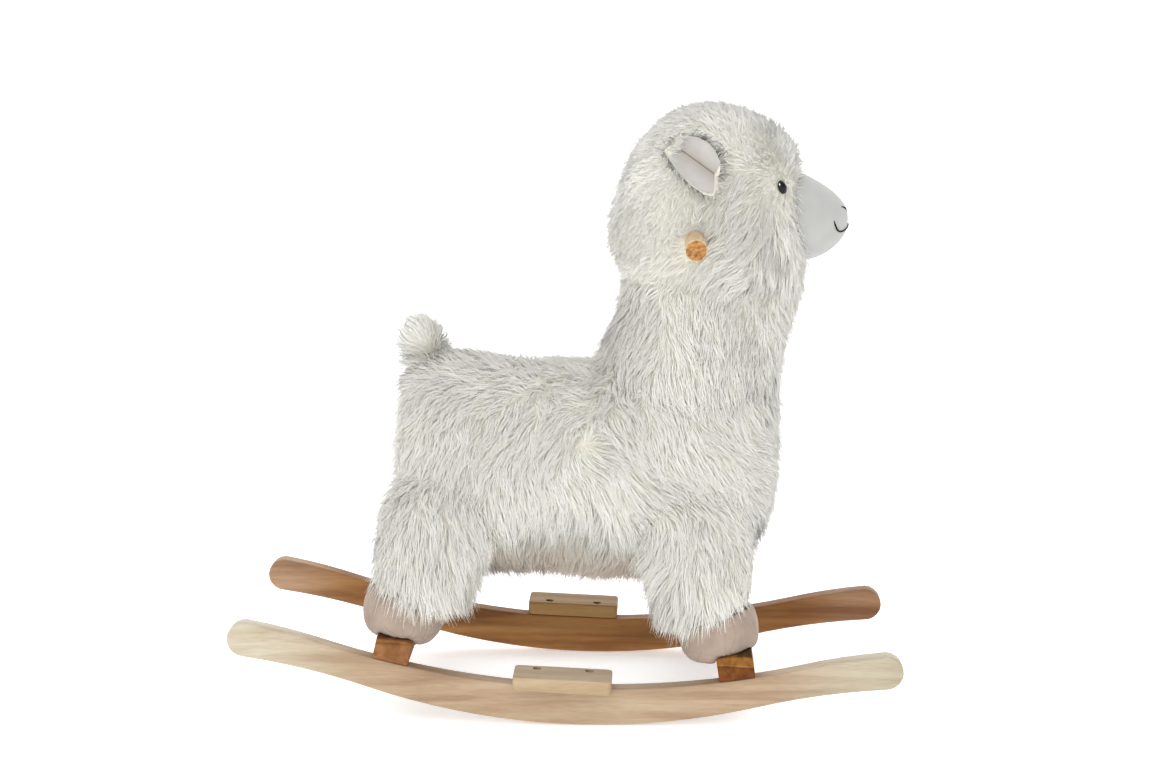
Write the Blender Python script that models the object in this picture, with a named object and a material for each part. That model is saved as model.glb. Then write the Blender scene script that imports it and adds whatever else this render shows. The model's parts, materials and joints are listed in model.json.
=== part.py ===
# Rocking llama toy: a stuffed llama on a wooden frame with two curved runners.
# Metres, +Z up, +X towards the nose. The origin is on the floor under the middle of the runners.
# Run with blender --background --python part.py, or from Blender's text editor.

import math

import bmesh
import bpy
from mathutils import Matrix, Vector
from mathutils.bvhtree import BVHTree

# Clearance between pieces that touch
GAP = 0.0003

# Runners: bottom and top edges are arcs that bend back towards level near the tips
RUNNER_LENGTH = 0.710
RUNNER_THICKNESS = 0.020
RUNNER_SPREAD = 0.280  # over the outer faces of the pair
RUNNER_MIDDLE_HEIGHT = 0.040
RUNNER_BOTTOM_RADIUS = 0.730
RUNNER_TOP_RADIUS = 0.950
BOTTOM_TURN_X = 0.205
BOTTOM_TURN_RADIUS = 0.750
TOP_TURN_X = 0.255
TOP_TURN_RADIUS = 0.650
RUNNER_NOSE = 0.0185
RUNNER_ROUNDING = 0.002

# The heavy head rolls the toy forward on its runners until it rests this far nose-down.
# Every size below is in the toy's own frame, in which the runners lie level.
REST_TILT = math.radians(2.5)

# Footrests, one on top of each runner, flush with its inner face
FOOTREST_LENGTH = 0.103
FOOTREST_DEPTH = 0.0455
FOOTREST_THICKNESS = 0.015
FOOTREST_CORNER = 0.005
FOOTREST_SEAT_MARGIN = 0.002
FOOTREST_SCREW_SPACING = 0.055
FOOTREST_SCREW_SINK = 0.006

# Crossbars, square to the runners' top edges
CROSSBAR_X = 0.1825
CROSSBAR_WIDTH = 0.038
CROSSBAR_HEIGHT = 0.025
RUNNER_SCREW_BITE = 0.017  # how far the screws from below reach into a crossbar

# Frame inside the toy
POST_Y = 0.088
POST_SIDE = 0.030
BEAM_BOTTOM = 0.205
BEAM_WIDTH = 0.034
BEAM_HEIGHT = 0.020
SEAT_BOARD_WIDTH = 0.120
SEAT_BOARD_THICKNESS = 0.012
NECK_BOARD_BACK = 0.084
NECK_BOARD_DEPTH = 0.064
NECK_BOARD_THICKNESS = 0.018
NECK_BOARD_TOP = 0.560
NECK_SCREW_SPACING = 0.024
NECK_SCREW_INSET = 0.012
WOOD_ROUNDING = 0.0015

# Handle: a dowel through the neck board and the head
HANDLE_X = 0.1155
HANDLE_HEIGHT = 0.5105
HANDLE_DIAMETER = 0.022
HANDLE_LENGTH = 0.344

# Screws: head radius, head height, shank radius, length under and with the head
SMALL_SCREW = (0.0040, 0.0025, 0.0020, 0.030)
LONG_SCREW = (0.0040, 0.0030, 0.0022, 0.040)
LAG_SCREW = (0.0065, 0.0040, 0.0030, 0.055)
HEAD_CLEARANCE = 0.0007  # around a screw head in its counterbore
LAG_SCREW_SINK = 0.006
SCREW_SOCKET_SHARES = (0.5, 0.6)  # radius and depth of the driver's socket, as shares of the head's
SCREW_EDGE_SHARES = (0.15, 0.3)  # rounding of the head across and down, as shares of its radius and height
SCREW_POINT_SHARES = (0.2, 2.0)  # radius and length of the point, as shares of the shank's radius
HIDDEN_SCREW_SINK = 0.001  # a head inside the frame, below the surface of the wood
CUT_PAST = 0.030  # how far a cutter runs past the face that it opens

# Body, along X: x, height of the middle, half height, half width
BODY = (
    (-0.192, 0.262, 0.040, 0.035),
    (-0.186, 0.258, 0.076, 0.066),
    (-0.166, 0.252, 0.102, 0.088),
    (-0.120, 0.248, 0.112, 0.100),
    (-0.050, 0.247, 0.110, 0.104),
    (0.030, 0.249, 0.112, 0.105),
    (0.100, 0.256, 0.120, 0.104),
    (0.160, 0.262, 0.118, 0.096),
    (0.195, 0.268, 0.096, 0.078),
    (0.210, 0.272, 0.060, 0.048),
    (0.214, 0.273, 0.028, 0.022),
)

# Neck, along Z: z, x of the middle, half length, half width
NECK = (
    (0.290, 0.126, 0.060, 0.060),
    (0.310, 0.124, 0.084, 0.082),
    (0.345, 0.121, 0.093, 0.086),
    (0.380, 0.122, 0.094, 0.082),
    (0.420, 0.132, 0.089, 0.078),
    (0.455, 0.139, 0.092, 0.078),
    (0.485, 0.138, 0.080, 0.070),
    (0.500, 0.136, 0.050, 0.045),
)

# Head, along Z: z, x of the middle, half length, half width
HEAD = (
    (0.437, 0.139, 0.042, 0.036),
    (0.452, 0.137, 0.082, 0.070),
    (0.480, 0.133, 0.101, 0.088),
    (0.510, 0.131, 0.105, 0.094),
    (0.545, 0.131, 0.099, 0.092),
    (0.580, 0.132, 0.091, 0.084),
    (0.608, 0.134, 0.077, 0.071),
    (0.630, 0.133, 0.056, 0.051),
    (0.642, 0.131, 0.026, 0.024),
)

# Muzzle, along X: x, height of the middle, half height, half width
MUZZLE = (
    (0.190, 0.5230, 0.0340, 0.0340),
    (0.215, 0.5190, 0.0440, 0.0430),
    (0.240, 0.5190, 0.0435, 0.0410),
    (0.256, 0.5210, 0.0335, 0.0340),
    (0.266, 0.5230, 0.0255, 0.0265),
    (0.2725, 0.5255, 0.0165, 0.0180),
    (0.2760, 0.5270, 0.0070, 0.0080),
)

# Legs, up the posts from the top of a crossbar: height, half length, half width, shift towards the middle
LEG = (
    (0.032, 0.032, 0.031, 0.000),
    (0.040, 0.045, 0.041, 0.000),
    (0.058, 0.051, 0.045, 0.002),
    (0.088, 0.055, 0.048, 0.006),
    (0.120, 0.058, 0.048, 0.013),
    (0.152, 0.048, 0.042, 0.019),
    (0.164, 0.026, 0.024, 0.022),
)
LEG_SHIFT = {"rear": 0.0105, "front": 0.0225}  # from the post towards the middle of the toy

# Hooves, which sag around the crossbar they stand on: height over its top, half length, half width
HOOF = (
    (-0.010, 0.0250, 0.0280),
    (-0.0055, 0.0350, 0.0365),
    (0.004, 0.0410, 0.0415),
    (0.018, 0.0435, 0.0430),
    (0.032, 0.0430, 0.0425),
    (0.047, 0.0380, 0.0375),
    (0.058, 0.0240, 0.0240),
)
HOOF_Y = 0.096
HOOF_SHIFT = {"rear": 0.001, "front": 0.014}

# Tail: radius of the ball at its root, in a seat of the body, then distance from the ball's middle and radius
TAIL_BALL = 0.014
TAIL = (
    (0.0062, 0.0122),
    (0.017, 0.0180),
    (0.027, 0.0200),
    (0.038, 0.0145),
    (0.047, 0.0050),
)
TAIL_X = -0.163
TAIL_LEAN = math.radians(20)  # from upright, to the rear

# Ears: distance from the hinge and half width; a leaf folded to a shallow V along its middle
EAR = (
    (0.008, 0.0165),
    (0.018, 0.0210),
    (0.031, 0.0225),
    (0.044, 0.0200),
    (0.054, 0.0145),
    (0.060, 0.0065),
)
EAR_THICKNESS = 0.006
EAR_FOLD_SLOPE = 0.45
EAR_ROW_SHARES = (-1, -0.55, 0, 0.55, 1)  # rows of points across an ear, as shares of its half width
EAR_EDGE_SHARE = 0.4  # thickness along the rim, as a share of the ear's
EAR_TIP_SHARE = 0.5  # thickness at the tip
EAR_ROOT = (0.088, 0.600)  # x and z of the hinge
EAR_LEVEL = (0.101, 0.592)  # x and z of the point of the head that the ear lies level with
EAR_DROOP = math.radians(32)  # below level, towards the nose, seen from the side
EAR_BASE_HALF_WIDTH = 0.013
EAR_BASE_RADIUS = 0.0052
LINING_THICKNESS = 0.0015
LINING_MARGIN = 0.003
EAR_FACET_SPAN = 0.018  # how far around a point the head's slope is measured

# Face
EYE_AT = (0.202, 0.567)  # x and z
EYE_HALF_LENGTH = 0.0065
EYE_HALF_WIDTH = 0.0048
EYE_DEPTH = 0.0035
EYE_TILT = math.radians(35)
THREAD_RADIUS = 0.0009
THREAD_CLEARANCE = 0.0005
MOUTH = ((0.027, 0.531), (0.024, 0.525), (0.016, 0.5205), (0.007, 0.5225), (0.000, 0.526))  # y and z
NOSTRIL = ((0.006, 0.542), (0.012, 0.5445), (0.018, 0.5465))  # y and z

# Facets
BODY_SIDES = 26
LIMB_SIDES = 18
MUZZLE_SIDES = 22
SMALL_SIDES = 14
EYE_ROWS = 8
SCREW_SIDES = 12
DOWEL_SIDES = 28
RUNNER_STEPS = 30
NOSE_STEPS = 10
BALL_TURNS = (12, 45, 90)  # degrees up from the lowest point of a rounded root
SMOOTHING_ANGLE = math.radians(40)
BOXY = 2.4  # exponent of the body's cross-section, 2 being an ellipse

SIDES = {"right": -1, "left": 1}  # the llama's own right is -Y
ENDS = {"rear": -1, "front": 1}


def clear_scene():
    for thing in list(bpy.data.objects):
        bpy.data.objects.remove(thing)


def finish(name, colour, roughness, metallic=0.0):
    material = bpy.data.materials.new(name)
    material.use_nodes = True
    shader = material.node_tree.nodes["Principled BSDF"]
    shader.inputs["Base Color"].default_value = (*colour, 1.0)
    shader.inputs["Roughness"].default_value = roughness
    shader.inputs["Metallic"].default_value = metallic
    return material


def finishes():
    return {
        "pine": finish("pine", (0.66, 0.48, 0.31), 0.55),
        "brown_wood": finish("brown_wood", (0.26, 0.12, 0.05), 0.6),
        "inner_wood": finish("inner_wood", (0.55, 0.40, 0.25), 0.7),
        "dowel_wood": finish("dowel_wood", (0.62, 0.34, 0.14), 0.5),
        "steel": finish("steel", (0.55, 0.55, 0.56), 0.35, 1.0),
        "fur": finish("fur", (0.74, 0.73, 0.68), 0.95),
        "nap": finish("nap", (0.62, 0.61, 0.59), 0.9),
        "linen": finish("linen", (0.55, 0.46, 0.38), 0.9),
        "pink_fabric": finish("pink_fabric", (0.68, 0.56, 0.54), 0.9),
        "black_plastic": finish("black_plastic", (0.01, 0.01, 0.01), 0.15),
        "black_thread": finish("black_thread", (0.015, 0.015, 0.015), 0.7),
    }


# Mesh helpers


def add_object(name, mesh_data, material, parent=None):
    mesh_data.normal_update()
    bmesh.ops.recalc_face_normals(mesh_data, faces=mesh_data.faces)
    mesh = bpy.data.meshes.new(name)
    mesh_data.to_mesh(mesh)
    mesh_data.free()
    thing = bpy.data.objects.new(name, mesh)
    bpy.context.collection.objects.link(thing)
    if material:
        mesh.materials.append(material)
    thing.parent = parent
    return thing


def smooth(thing):
    thing.data.shade_smooth()
    thing.data.set_sharp_from_angle(angle=SMOOTHING_ANGLE)
    return thing


def hide_cutter(cutter):
    cutter.hide_render = True
    cutter.display_type = "WIRE"
    return cutter


def cut(thing, cutters):
    for cutter in cutters:
        modifier = thing.modifiers.new(cutter.name, "BOOLEAN")
        modifier.operation = "DIFFERENCE"
        modifier.object = cutter
        modifier.solver = "EXACT"


def round_edges(thing, width, segments=2):
    modifier = thing.modifiers.new("rounding", "BEVEL")
    modifier.width = width
    modifier.segments = segments
    modifier.limit_method = "ANGLE"
    modifier.angle_limit = SMOOTHING_ANGLE


def prism(name, outline, depth, material, parent=None):
    # The outline is in X and Z; the prism runs from y = 0 to y = depth.
    data = bmesh.new()
    face = data.faces.new([data.verts.new((x, 0, z)) for x, z in outline])
    moved = bmesh.ops.extrude_face_region(data, geom=[face])["geom"]
    bmesh.ops.translate(data, vec=(0, depth, 0), verts=[v for v in moved if isinstance(v, bmesh.types.BMVert)])
    return add_object(name, data, material, parent)


def box(name, size, centre, material, parent=None):
    data = bmesh.new()
    bmesh.ops.create_cube(data, size=1.0)
    bmesh.ops.scale(data, vec=size, verts=data.verts)
    thing = add_object(name, data, material, parent)
    thing.location = centre
    return thing


def turned(name, profile, sides, material, parent=None):
    # The profile is a list of radius and z, from one end of the axis to the other.
    data = bmesh.new()
    rings = []
    for radius, z in profile:
        if radius == 0:
            rings.append([data.verts.new((0, 0, z))])
            continue
        turns = [math.tau * i / sides for i in range(sides)]
        rings.append([data.verts.new((radius * math.cos(t), radius * math.sin(t), z)) for t in turns])
    join_rings(data, rings, sides)
    return smooth(add_object(name, data, material, parent))


def join_rings(data, rings, sides):
    for lower, upper in zip(rings, rings[1:]):
        for i in range(sides):
            j = (i + 1) % sides
            corners = [lower[i % len(lower)], lower[j % len(lower)], upper[j % len(upper)], upper[i % len(upper)]]
            data.faces.new(list(dict.fromkeys(corners)))


def smooth_rows(rows, steps):
    # Points on a smooth curve through rows of numbers, with a number of steps between each two rows
    padded = [rows[0], *rows, rows[-1]]
    made = []
    for before, start, end, after in zip(padded, padded[1:], padded[2:], padded[3:]):
        for step in range(steps):
            t = step / steps
            made.append([spline(t, *values) for values in zip(before, start, end, after)])
    return [*made, list(rows[-1])]


def spline(t, before, start, end, after):
    slope_in = (end - before) / 2
    slope_out = (after - start) / 2
    return (
        (2 * t**3 - 3 * t**2 + 1) * start
        + (t**3 - 2 * t**2 + t) * slope_in
        + (3 * t**2 - 2 * t**3) * end
        + (t**3 - t**2) * slope_out
    )


def bulge(rings, sides, boxy=2.0):
    # Joins rings, each a centre and two half axes, into one closed form with flat ends.
    data = bmesh.new()
    loops = []
    for centre, across, along in rings:
        loop = []
        for i in range(sides):
            turn = math.tau * i / sides
            c = math.cos(turn)
            s = math.sin(turn)
            size = (abs(c) ** boxy + abs(s) ** boxy) ** (-1 / boxy)
            loop.append(data.verts.new(centre + across * (c * size) + along * (s * size)))
        loops.append(loop)
    join_rings(data, loops, sides)
    data.faces.new(loops[0])
    data.faces.new(loops[-1])
    return data


def grown(rows, grow):
    # The rows of a form, with every half size and both ends a little larger
    first = [rows[0][0] - grow, *rows[0][1:]]
    last = [rows[-1][0] + grow, *rows[-1][1:]]
    return [first, *rows[1:-1], last]


def lying_rings(rows, grow):
    # Rings square to X
    return [
        (Vector((x, 0, z)), Vector((0, half_width + grow, 0)), Vector((0, 0, half_height + grow)))
        for x, z, half_height, half_width in smooth_rows(grown(rows, grow), 2)
    ]


def standing_rings(rows, grow):
    # Rings square to Z
    return [
        (Vector((x, 0, z)), Vector((half_length + grow, 0, 0)), Vector((0, half_width + grow, 0)))
        for z, x, half_length, half_width in smooth_rows(grown(rows, grow), 2)
    ]


def surface_of(thing):
    depsgraph = bpy.context.evaluated_depsgraph_get()
    data = bmesh.new()
    data.from_object(thing, depsgraph)
    data.transform(thing.matrix_world)
    tree = BVHTree.FromBMesh(data)
    data.free()
    return tree


def hit(tree, start, direction):
    place, normal, _, _ = tree.ray_cast(Vector(start), Vector(direction))
    return place, normal


def side_normal(tree, place, sign):
    # Outward direction of a form's side at a point of x and z, evened out over its facets
    x, z = place
    span = EAR_FACET_SPAN
    corners = [(x + span, z), (x - span, z), (x, z + span), (x, z - span)]
    front, back, high, low = (hit(tree, (a, sign, b), (0, -sign, 0))[0] for a, b in corners)
    normal = (high - low).cross(front - back).normalized()
    return normal if normal.y * sign > 0 else -normal


# Sizes that follow from the driving dimensions


def edge_height(x, middle, radius, turn_x, turn_radius):
    inner = min(abs(x), turn_x)
    height = middle + radius - math.sqrt(radius**2 - inner**2)
    if abs(x) > turn_x:
        start = math.asin(turn_x / radius)
        end = math.asin(turn_x / radius - (abs(x) - turn_x) / turn_radius)
        height += turn_radius * (math.cos(end) - math.cos(start))
    return height


def bottom_edge(x):
    return edge_height(x, 0.0, RUNNER_BOTTOM_RADIUS, BOTTOM_TURN_X, BOTTOM_TURN_RADIUS)


def top_edge(x):
    return edge_height(x, RUNNER_MIDDLE_HEIGHT, RUNNER_TOP_RADIUS, TOP_TURN_X, TOP_TURN_RADIUS)


FOOTREST_SEAT_HALF = FOOTREST_LENGTH / 2 + FOOTREST_SEAT_MARGIN
FOOTREST_SEAT_HEIGHT = top_edge(FOOTREST_SEAT_HALF)
RUNNER_END = RUNNER_LENGTH / 2 - RUNNER_NOSE  # x where the round tips begin
RUNNER_MIDDLE_Y = RUNNER_SPREAD / 2 - RUNNER_THICKNESS / 2
RUNNER_INNER_Y = RUNNER_SPREAD / 2 - RUNNER_THICKNESS

CROSSBAR_TILT = math.asin(CROSSBAR_X / RUNNER_TOP_RADIUS)
CROSSBAR_SEAT = GAP + CROSSBAR_WIDTH**2 / (8 * RUNNER_TOP_RADIUS)  # over the hollow of the runner's top edge
CROSSBAR_TOP = CROSSBAR_SEAT + CROSSBAR_HEIGHT
FOOT_BASE = CROSSBAR_TOP + GAP

BEAM_TOP = BEAM_BOTTOM + BEAM_HEIGHT
SEAT_BOARD_BOTTOM = BEAM_TOP + GAP
SEAT_BOARD_TOP = SEAT_BOARD_BOTTOM + SEAT_BOARD_THICKNESS
NECK_BOARD_BOTTOM = SEAT_BOARD_TOP + GAP
NECK_BOARD_FRONT = NECK_BOARD_BACK + NECK_BOARD_DEPTH


def beam_x(end):
    rise = BEAM_BOTTOM - top_edge(CROSSBAR_X)
    return ENDS[end] * (CROSSBAR_X - math.tan(CROSSBAR_TILT) * rise)


def tip_height():
    return (bottom_edge(RUNNER_END) + top_edge(RUNNER_END)) / 2


# Wood of the base


def runner_outline():
    end = RUNNER_END
    across = [end * (2 * i / RUNNER_STEPS - 1) for i in range(RUNNER_STEPS + 1)]
    lower = [(x, bottom_edge(x)) for x in across]
    seat = [(x, FOOTREST_SEAT_HEIGHT) for x in (FOOTREST_SEAT_HALF, -FOOTREST_SEAT_HALF)]
    right = [(x, top_edge(x)) for x in reversed(across) if x > FOOTREST_SEAT_HALF]
    left = [(-x, z) for x, z in reversed(right)]
    middle = tip_height()
    half = (top_edge(end) - bottom_edge(end)) / 2
    turns = [math.pi * i / NOSE_STEPS for i in range(1, NOSE_STEPS)]
    front = [(end + RUNNER_NOSE * math.sin(t), middle - half * math.cos(t)) for t in turns]
    rear = [(-x, z) for x, z in reversed(front)]
    return [*lower, *front, *right, *seat, *left, *rear]


def make_runners(wood):
    runners = {}
    for side, sign in SIDES.items():
        runner = prism(f"{side}_runner", runner_outline(), RUNNER_THICKNESS, wood)
        runner.location.y = RUNNER_INNER_Y if sign > 0 else -RUNNER_SPREAD / 2
        round_edges(runner, RUNNER_ROUNDING)
        runners[side] = smooth(runner)
    return runners


def rounded_rectangle(half_x, half_z, corner, steps=4):
    outline = []
    for quarter, (sx, sz) in enumerate(((1, 1), (-1, 1), (-1, -1), (1, -1))):
        for step in range(steps + 1):
            turn = math.pi / 2 * (quarter + step / steps)
            x = sx * (half_x - corner) + corner * math.cos(turn)
            z = sz * (half_z - corner) + corner * math.sin(turn)
            outline.append((x, z))
    return outline


def make_footrests(wood):
    footrests = {}
    for side, sign in SIDES.items():
        outline = rounded_rectangle(FOOTREST_LENGTH / 2, FOOTREST_DEPTH / 2, FOOTREST_CORNER)
        footrest = prism(f"{side}_footrest", outline, FOOTREST_THICKNESS, wood)
        footrest.rotation_euler.x = math.pi / 2
        footrest.location.y = sign * (RUNNER_INNER_Y + FOOTREST_DEPTH / 2)
        footrest.location.z = FOOTREST_SEAT_HEIGHT + GAP
        round_edges(footrest, WOOD_ROUNDING)
        footrests[side] = smooth(footrest)
    return footrests


def make_stands():
    # Empties on the runners' top edge; the crossbars, posts, legs and hooves stand on them.
    stands = {}
    for end, sign in ENDS.items():
        stand = bpy.data.objects.new(f"{end}_stand", None)
        bpy.context.collection.objects.link(stand)
        stand.location = (sign * CROSSBAR_X, 0, top_edge(CROSSBAR_X))
        stand.rotation_euler.y = -sign * CROSSBAR_TILT
        stands[end] = stand
    return stands


def crossbar_box(name, stand, grow, material):
    size = (CROSSBAR_WIDTH + 2 * grow, RUNNER_SPREAD + 2 * grow, CROSSBAR_HEIGHT + 2 * grow)
    return box(name, size, (0, 0, CROSSBAR_SEAT + CROSSBAR_HEIGHT / 2), material, stand)


def make_crossbars(stands, wood):
    crossbars = {}
    for end, stand in stands.items():
        crossbars[end] = crossbar_box(f"{end}_crossbar", stand, 0.0, wood)
        round_edges(crossbars[end], WOOD_ROUNDING)
    return crossbars


# Frame inside the toy


def post_block(name, stand, side, grow, material):
    # A post on its crossbar, square to it at the foot and cut level under the beam
    tilt = stand.rotation_euler.y
    half = POST_SIDE / 2 + grow
    top = BEAM_BOTTOM - GAP + (CUT_PAST / 2 if grow else 0)
    data = bmesh.new()
    bmesh.ops.create_cube(data, size=1.0)
    for vertex in data.verts:
        high = vertex.co.z > 0
        x = math.copysign(half, vertex.co.x)
        level = (top - stand.location.z + math.sin(tilt) * x) / math.cos(tilt)
        vertex.co.x = x
        vertex.co.y = math.copysign(half, vertex.co.y)
        vertex.co.z = level if high else FOOT_BASE - (CUT_PAST / 2 if grow else 0)
    post = add_object(name, data, material, stand)
    post.location.y = SIDES[side] * POST_Y
    return post


def make_posts(stands, wood):
    posts = {}
    for end, stand in stands.items():
        for side in SIDES:
            posts[end, side] = post_block(f"{end}_{side}_leg_post", stand, side, 0.0, wood)
    return posts


def beam_box(name, end, grow, material):
    size = (BEAM_WIDTH + 2 * grow, 2 * POST_Y + POST_SIDE + 2 * grow, BEAM_HEIGHT + 2 * grow)
    return box(name, size, (beam_x(end), 0, BEAM_BOTTOM + BEAM_HEIGHT / 2), material)


def seat_board_box(name, grow, material):
    # The board ends flush with the outer faces of the two beams.
    length = beam_x("front") - beam_x("rear") + BEAM_WIDTH
    size = (length + 2 * grow, SEAT_BOARD_WIDTH + 2 * grow, SEAT_BOARD_THICKNESS + 2 * grow)
    return box(name, size, (0, 0, SEAT_BOARD_BOTTOM + SEAT_BOARD_THICKNESS / 2), material)


def neck_board_box(name, grow, material):
    height = NECK_BOARD_TOP - NECK_BOARD_BOTTOM
    size = (NECK_BOARD_DEPTH + 2 * grow, NECK_BOARD_THICKNESS + 2 * grow, height + 2 * grow)
    centre = (NECK_BOARD_BACK + NECK_BOARD_DEPTH / 2, 0, NECK_BOARD_BOTTOM + height / 2)
    return box(name, size, centre, material)


def dowel(name, radius, length, edge, material):
    half = length / 2
    profile = [(0, -half), (radius - edge, -half), (radius, -half + edge)]
    profile += [(radius, half - edge), (radius - edge, half), (0, half)]
    thing = turned(name, profile, DOWEL_SIDES, material)
    thing.location = (HANDLE_X, 0, HANDLE_HEIGHT)
    thing.rotation_euler.x = math.pi / 2
    return thing


# Fasteners. A screw's origin is the top of its head, and it points down its own -Z.


def screw_profile(screw):
    head_radius, head_height, shank_radius, length = screw
    socket = head_radius * SCREW_SOCKET_SHARES[0]
    depth = head_height * SCREW_SOCKET_SHARES[1]
    return [
        (0, -depth),
        (socket, -depth),
        (socket, 0),
        (head_radius * (1 - SCREW_EDGE_SHARES[0]), 0),
        (head_radius, -head_height * SCREW_EDGE_SHARES[1]),
        (head_radius, -head_height),
        (shank_radius, -head_height),
        (shank_radius, shank_radius * SCREW_POINT_SHARES[1] - length),
        (shank_radius * SCREW_POINT_SHARES[0], -length),
        (0, -length),
    ]


def hole_profile(screw):
    head_radius, head_height, shank_radius, length = screw
    bore = head_radius + HEAD_CLEARANCE
    return [
        (0, CUT_PAST),
        (bore, CUT_PAST),
        (bore, -head_height - GAP),
        (shank_radius + GAP, -head_height - GAP),
        (shank_radius + GAP, -length - GAP),
        (0, -length - GAP),
    ]


def fasten(name, screw, place, down, steel, targets, parent=None):
    # A screw at a place, with the hole that it needs in each target
    turn = Vector((0, 0, -1)).rotation_difference(Vector(down)).to_euler()
    fastener = turned(name, screw_profile(screw), SCREW_SIDES, steel, parent)
    hole = hide_cutter(turned(f"{name}_hole", hole_profile(screw), SCREW_SIDES, None, parent))
    for thing in (fastener, hole):
        thing.location = place
        thing.rotation_euler = turn
    for target in targets:
        cut(target, [hole])
    return fastener


def make_base_screws(stands, runners, footrests, crossbars, posts, steel):
    top = FOOTREST_SEAT_HEIGHT + GAP + FOOTREST_THICKNESS - FOOTREST_SCREW_SINK
    for side, sign in SIDES.items():
        for end, along in ENDS.items():
            place = (along * FOOTREST_SCREW_SPACING / 2, sign * RUNNER_MIDDLE_Y, top)
            name = f"{side}_footrest_{end}_screw"
            fasten(name, SMALL_SCREW, place, (0, 0, -1), steel, [footrests[side], runners[side]])
    for end, stand in stands.items():
        for side, sign in SIDES.items():
            low = CROSSBAR_SEAT + RUNNER_SCREW_BITE - LONG_SCREW[3]
            place = (0, sign * RUNNER_MIDDLE_Y, low)
            targets = [runners[side], crossbars[end]]
            fasten(f"{end}_{side}_runner_screw", LONG_SCREW, place, (0, 0, 1), steel, targets, stand)
            place = (0, sign * POST_Y, CROSSBAR_SEAT + LAG_SCREW_SINK)
            targets = [crossbars[end], posts[end, side]]
            fasten(f"{end}_{side}_leg_bolt", LAG_SCREW, place, (0, 0, 1), steel, targets, stand)


def make_frame_screws(frame, posts, steel):
    for end in ENDS:
        for side, sign in SIDES.items():
            place = (beam_x(end), sign * POST_Y, BEAM_TOP - HIDDEN_SCREW_SINK)
            targets = [frame[f"{end}_cross_beam"], posts[end, side]]
            fasten(f"{end}_{side}_beam_screw", LONG_SCREW, place, (0, 0, -1), steel, targets)
        place = (beam_x(end), 0, SEAT_BOARD_TOP - HIDDEN_SCREW_SINK)
        targets = [frame["seat_board"], frame[f"{end}_cross_beam"]]
        fasten(f"{end}_seat_board_screw", SMALL_SCREW, place, (0, 0, -1), steel, targets)
    for number in range(2):
        x = NECK_BOARD_BACK + NECK_SCREW_INSET + number * NECK_SCREW_SPACING
        place = (x, 0, SEAT_BOARD_BOTTOM + HIDDEN_SCREW_SINK)
        targets = [frame["seat_board"], frame["neck_board"]]
        fasten(f"neck_board_screw_{number + 1}", LONG_SCREW, place, (0, 0, 1), steel, targets)
    place = (NECK_BOARD_FRONT - HIDDEN_SCREW_SINK, 0, HANDLE_HEIGHT)
    targets = [frame["neck_board"], frame["handle"]]
    fasten("handle_lock_screw", SMALL_SCREW, place, (-1, 0, 0), steel, targets)


def make_frame(finish_of):
    wood = finish_of["inner_wood"]
    frame = {}
    for end in ENDS:
        frame[f"{end}_cross_beam"] = beam_box(f"{end}_cross_beam", end, 0.0, wood)
    frame["seat_board"] = seat_board_box("seat_board", 0.0, wood)
    frame["neck_board"] = neck_board_box("neck_board", 0.0, wood)
    frame["handle"] = dowel("handle", HANDLE_DIAMETER / 2, HANDLE_LENGTH, WOOD_ROUNDING, finish_of["dowel_wood"])
    cut(frame["neck_board"], [handle_hole()])
    return frame


def handle_hole():
    hole = dowel("handle_hole", HANDLE_DIAMETER / 2 + GAP, HANDLE_LENGTH + 2 * CUT_PAST, GAP, None)
    return hide_cutter(hole)


def frame_spaces(stands):
    # Cutters, a little larger than the wood that the stuffing is packed around
    spaces = [seat_board_box("seat_board_space", GAP, None), neck_board_box("neck_board_space", GAP, None)]
    spaces += [beam_box(f"{end}_beam_space", end, GAP, None) for end in ENDS]
    spaces += [
        post_block(f"{end}_{side}_post_space", stand, side, GAP, None)
        for end, stand in stands.items()
        for side in SIDES
    ]
    return {hide_cutter(space).name: space for space in spaces}


# Stuffed pieces


def body_form(name, grow, material):
    return smooth(add_object(name, bulge(lying_rings(BODY, grow), BODY_SIDES, BOXY), material))


def neck_form(name, grow, material):
    return smooth(add_object(name, bulge(standing_rings(NECK, grow), BODY_SIDES), material))


def head_form(name, grow, material):
    return smooth(add_object(name, bulge(standing_rings(HEAD, grow), BODY_SIDES), material))


def muzzle_form(name, grow, material):
    return smooth(add_object(name, bulge(lying_rings(MUZZLE, grow), MUZZLE_SIDES), material))


def leg_form(name, end, side, stand, grow, material):
    rings = []
    inward = -ENDS[end]
    for height, half_length, half_width, lean in smooth_rows(grown(LEG, grow), 1):
        centre = Vector((inward * LEG_SHIFT[end], SIDES[side] * (HOOF_Y - lean), CROSSBAR_TOP + height))
        rings.append((centre, Vector((half_length + grow, 0, 0)), Vector((0, half_width + grow, 0))))
    return smooth(add_object(name, bulge(rings, LIMB_SIDES), material, stand))


def hoof_form(name, end, side, stand, material):
    rings = []
    inward = -ENDS[end]
    for height, half_length, half_width in smooth_rows(HOOF, 2):
        centre = Vector((inward * HOOF_SHIFT[end], SIDES[side] * HOOF_Y, FOOT_BASE + height))
        rings.append((centre, Vector((half_length, 0, 0)), Vector((0, half_width, 0))))
    return smooth(add_object(name, bulge(rings, LIMB_SIDES), material, stand))


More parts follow.
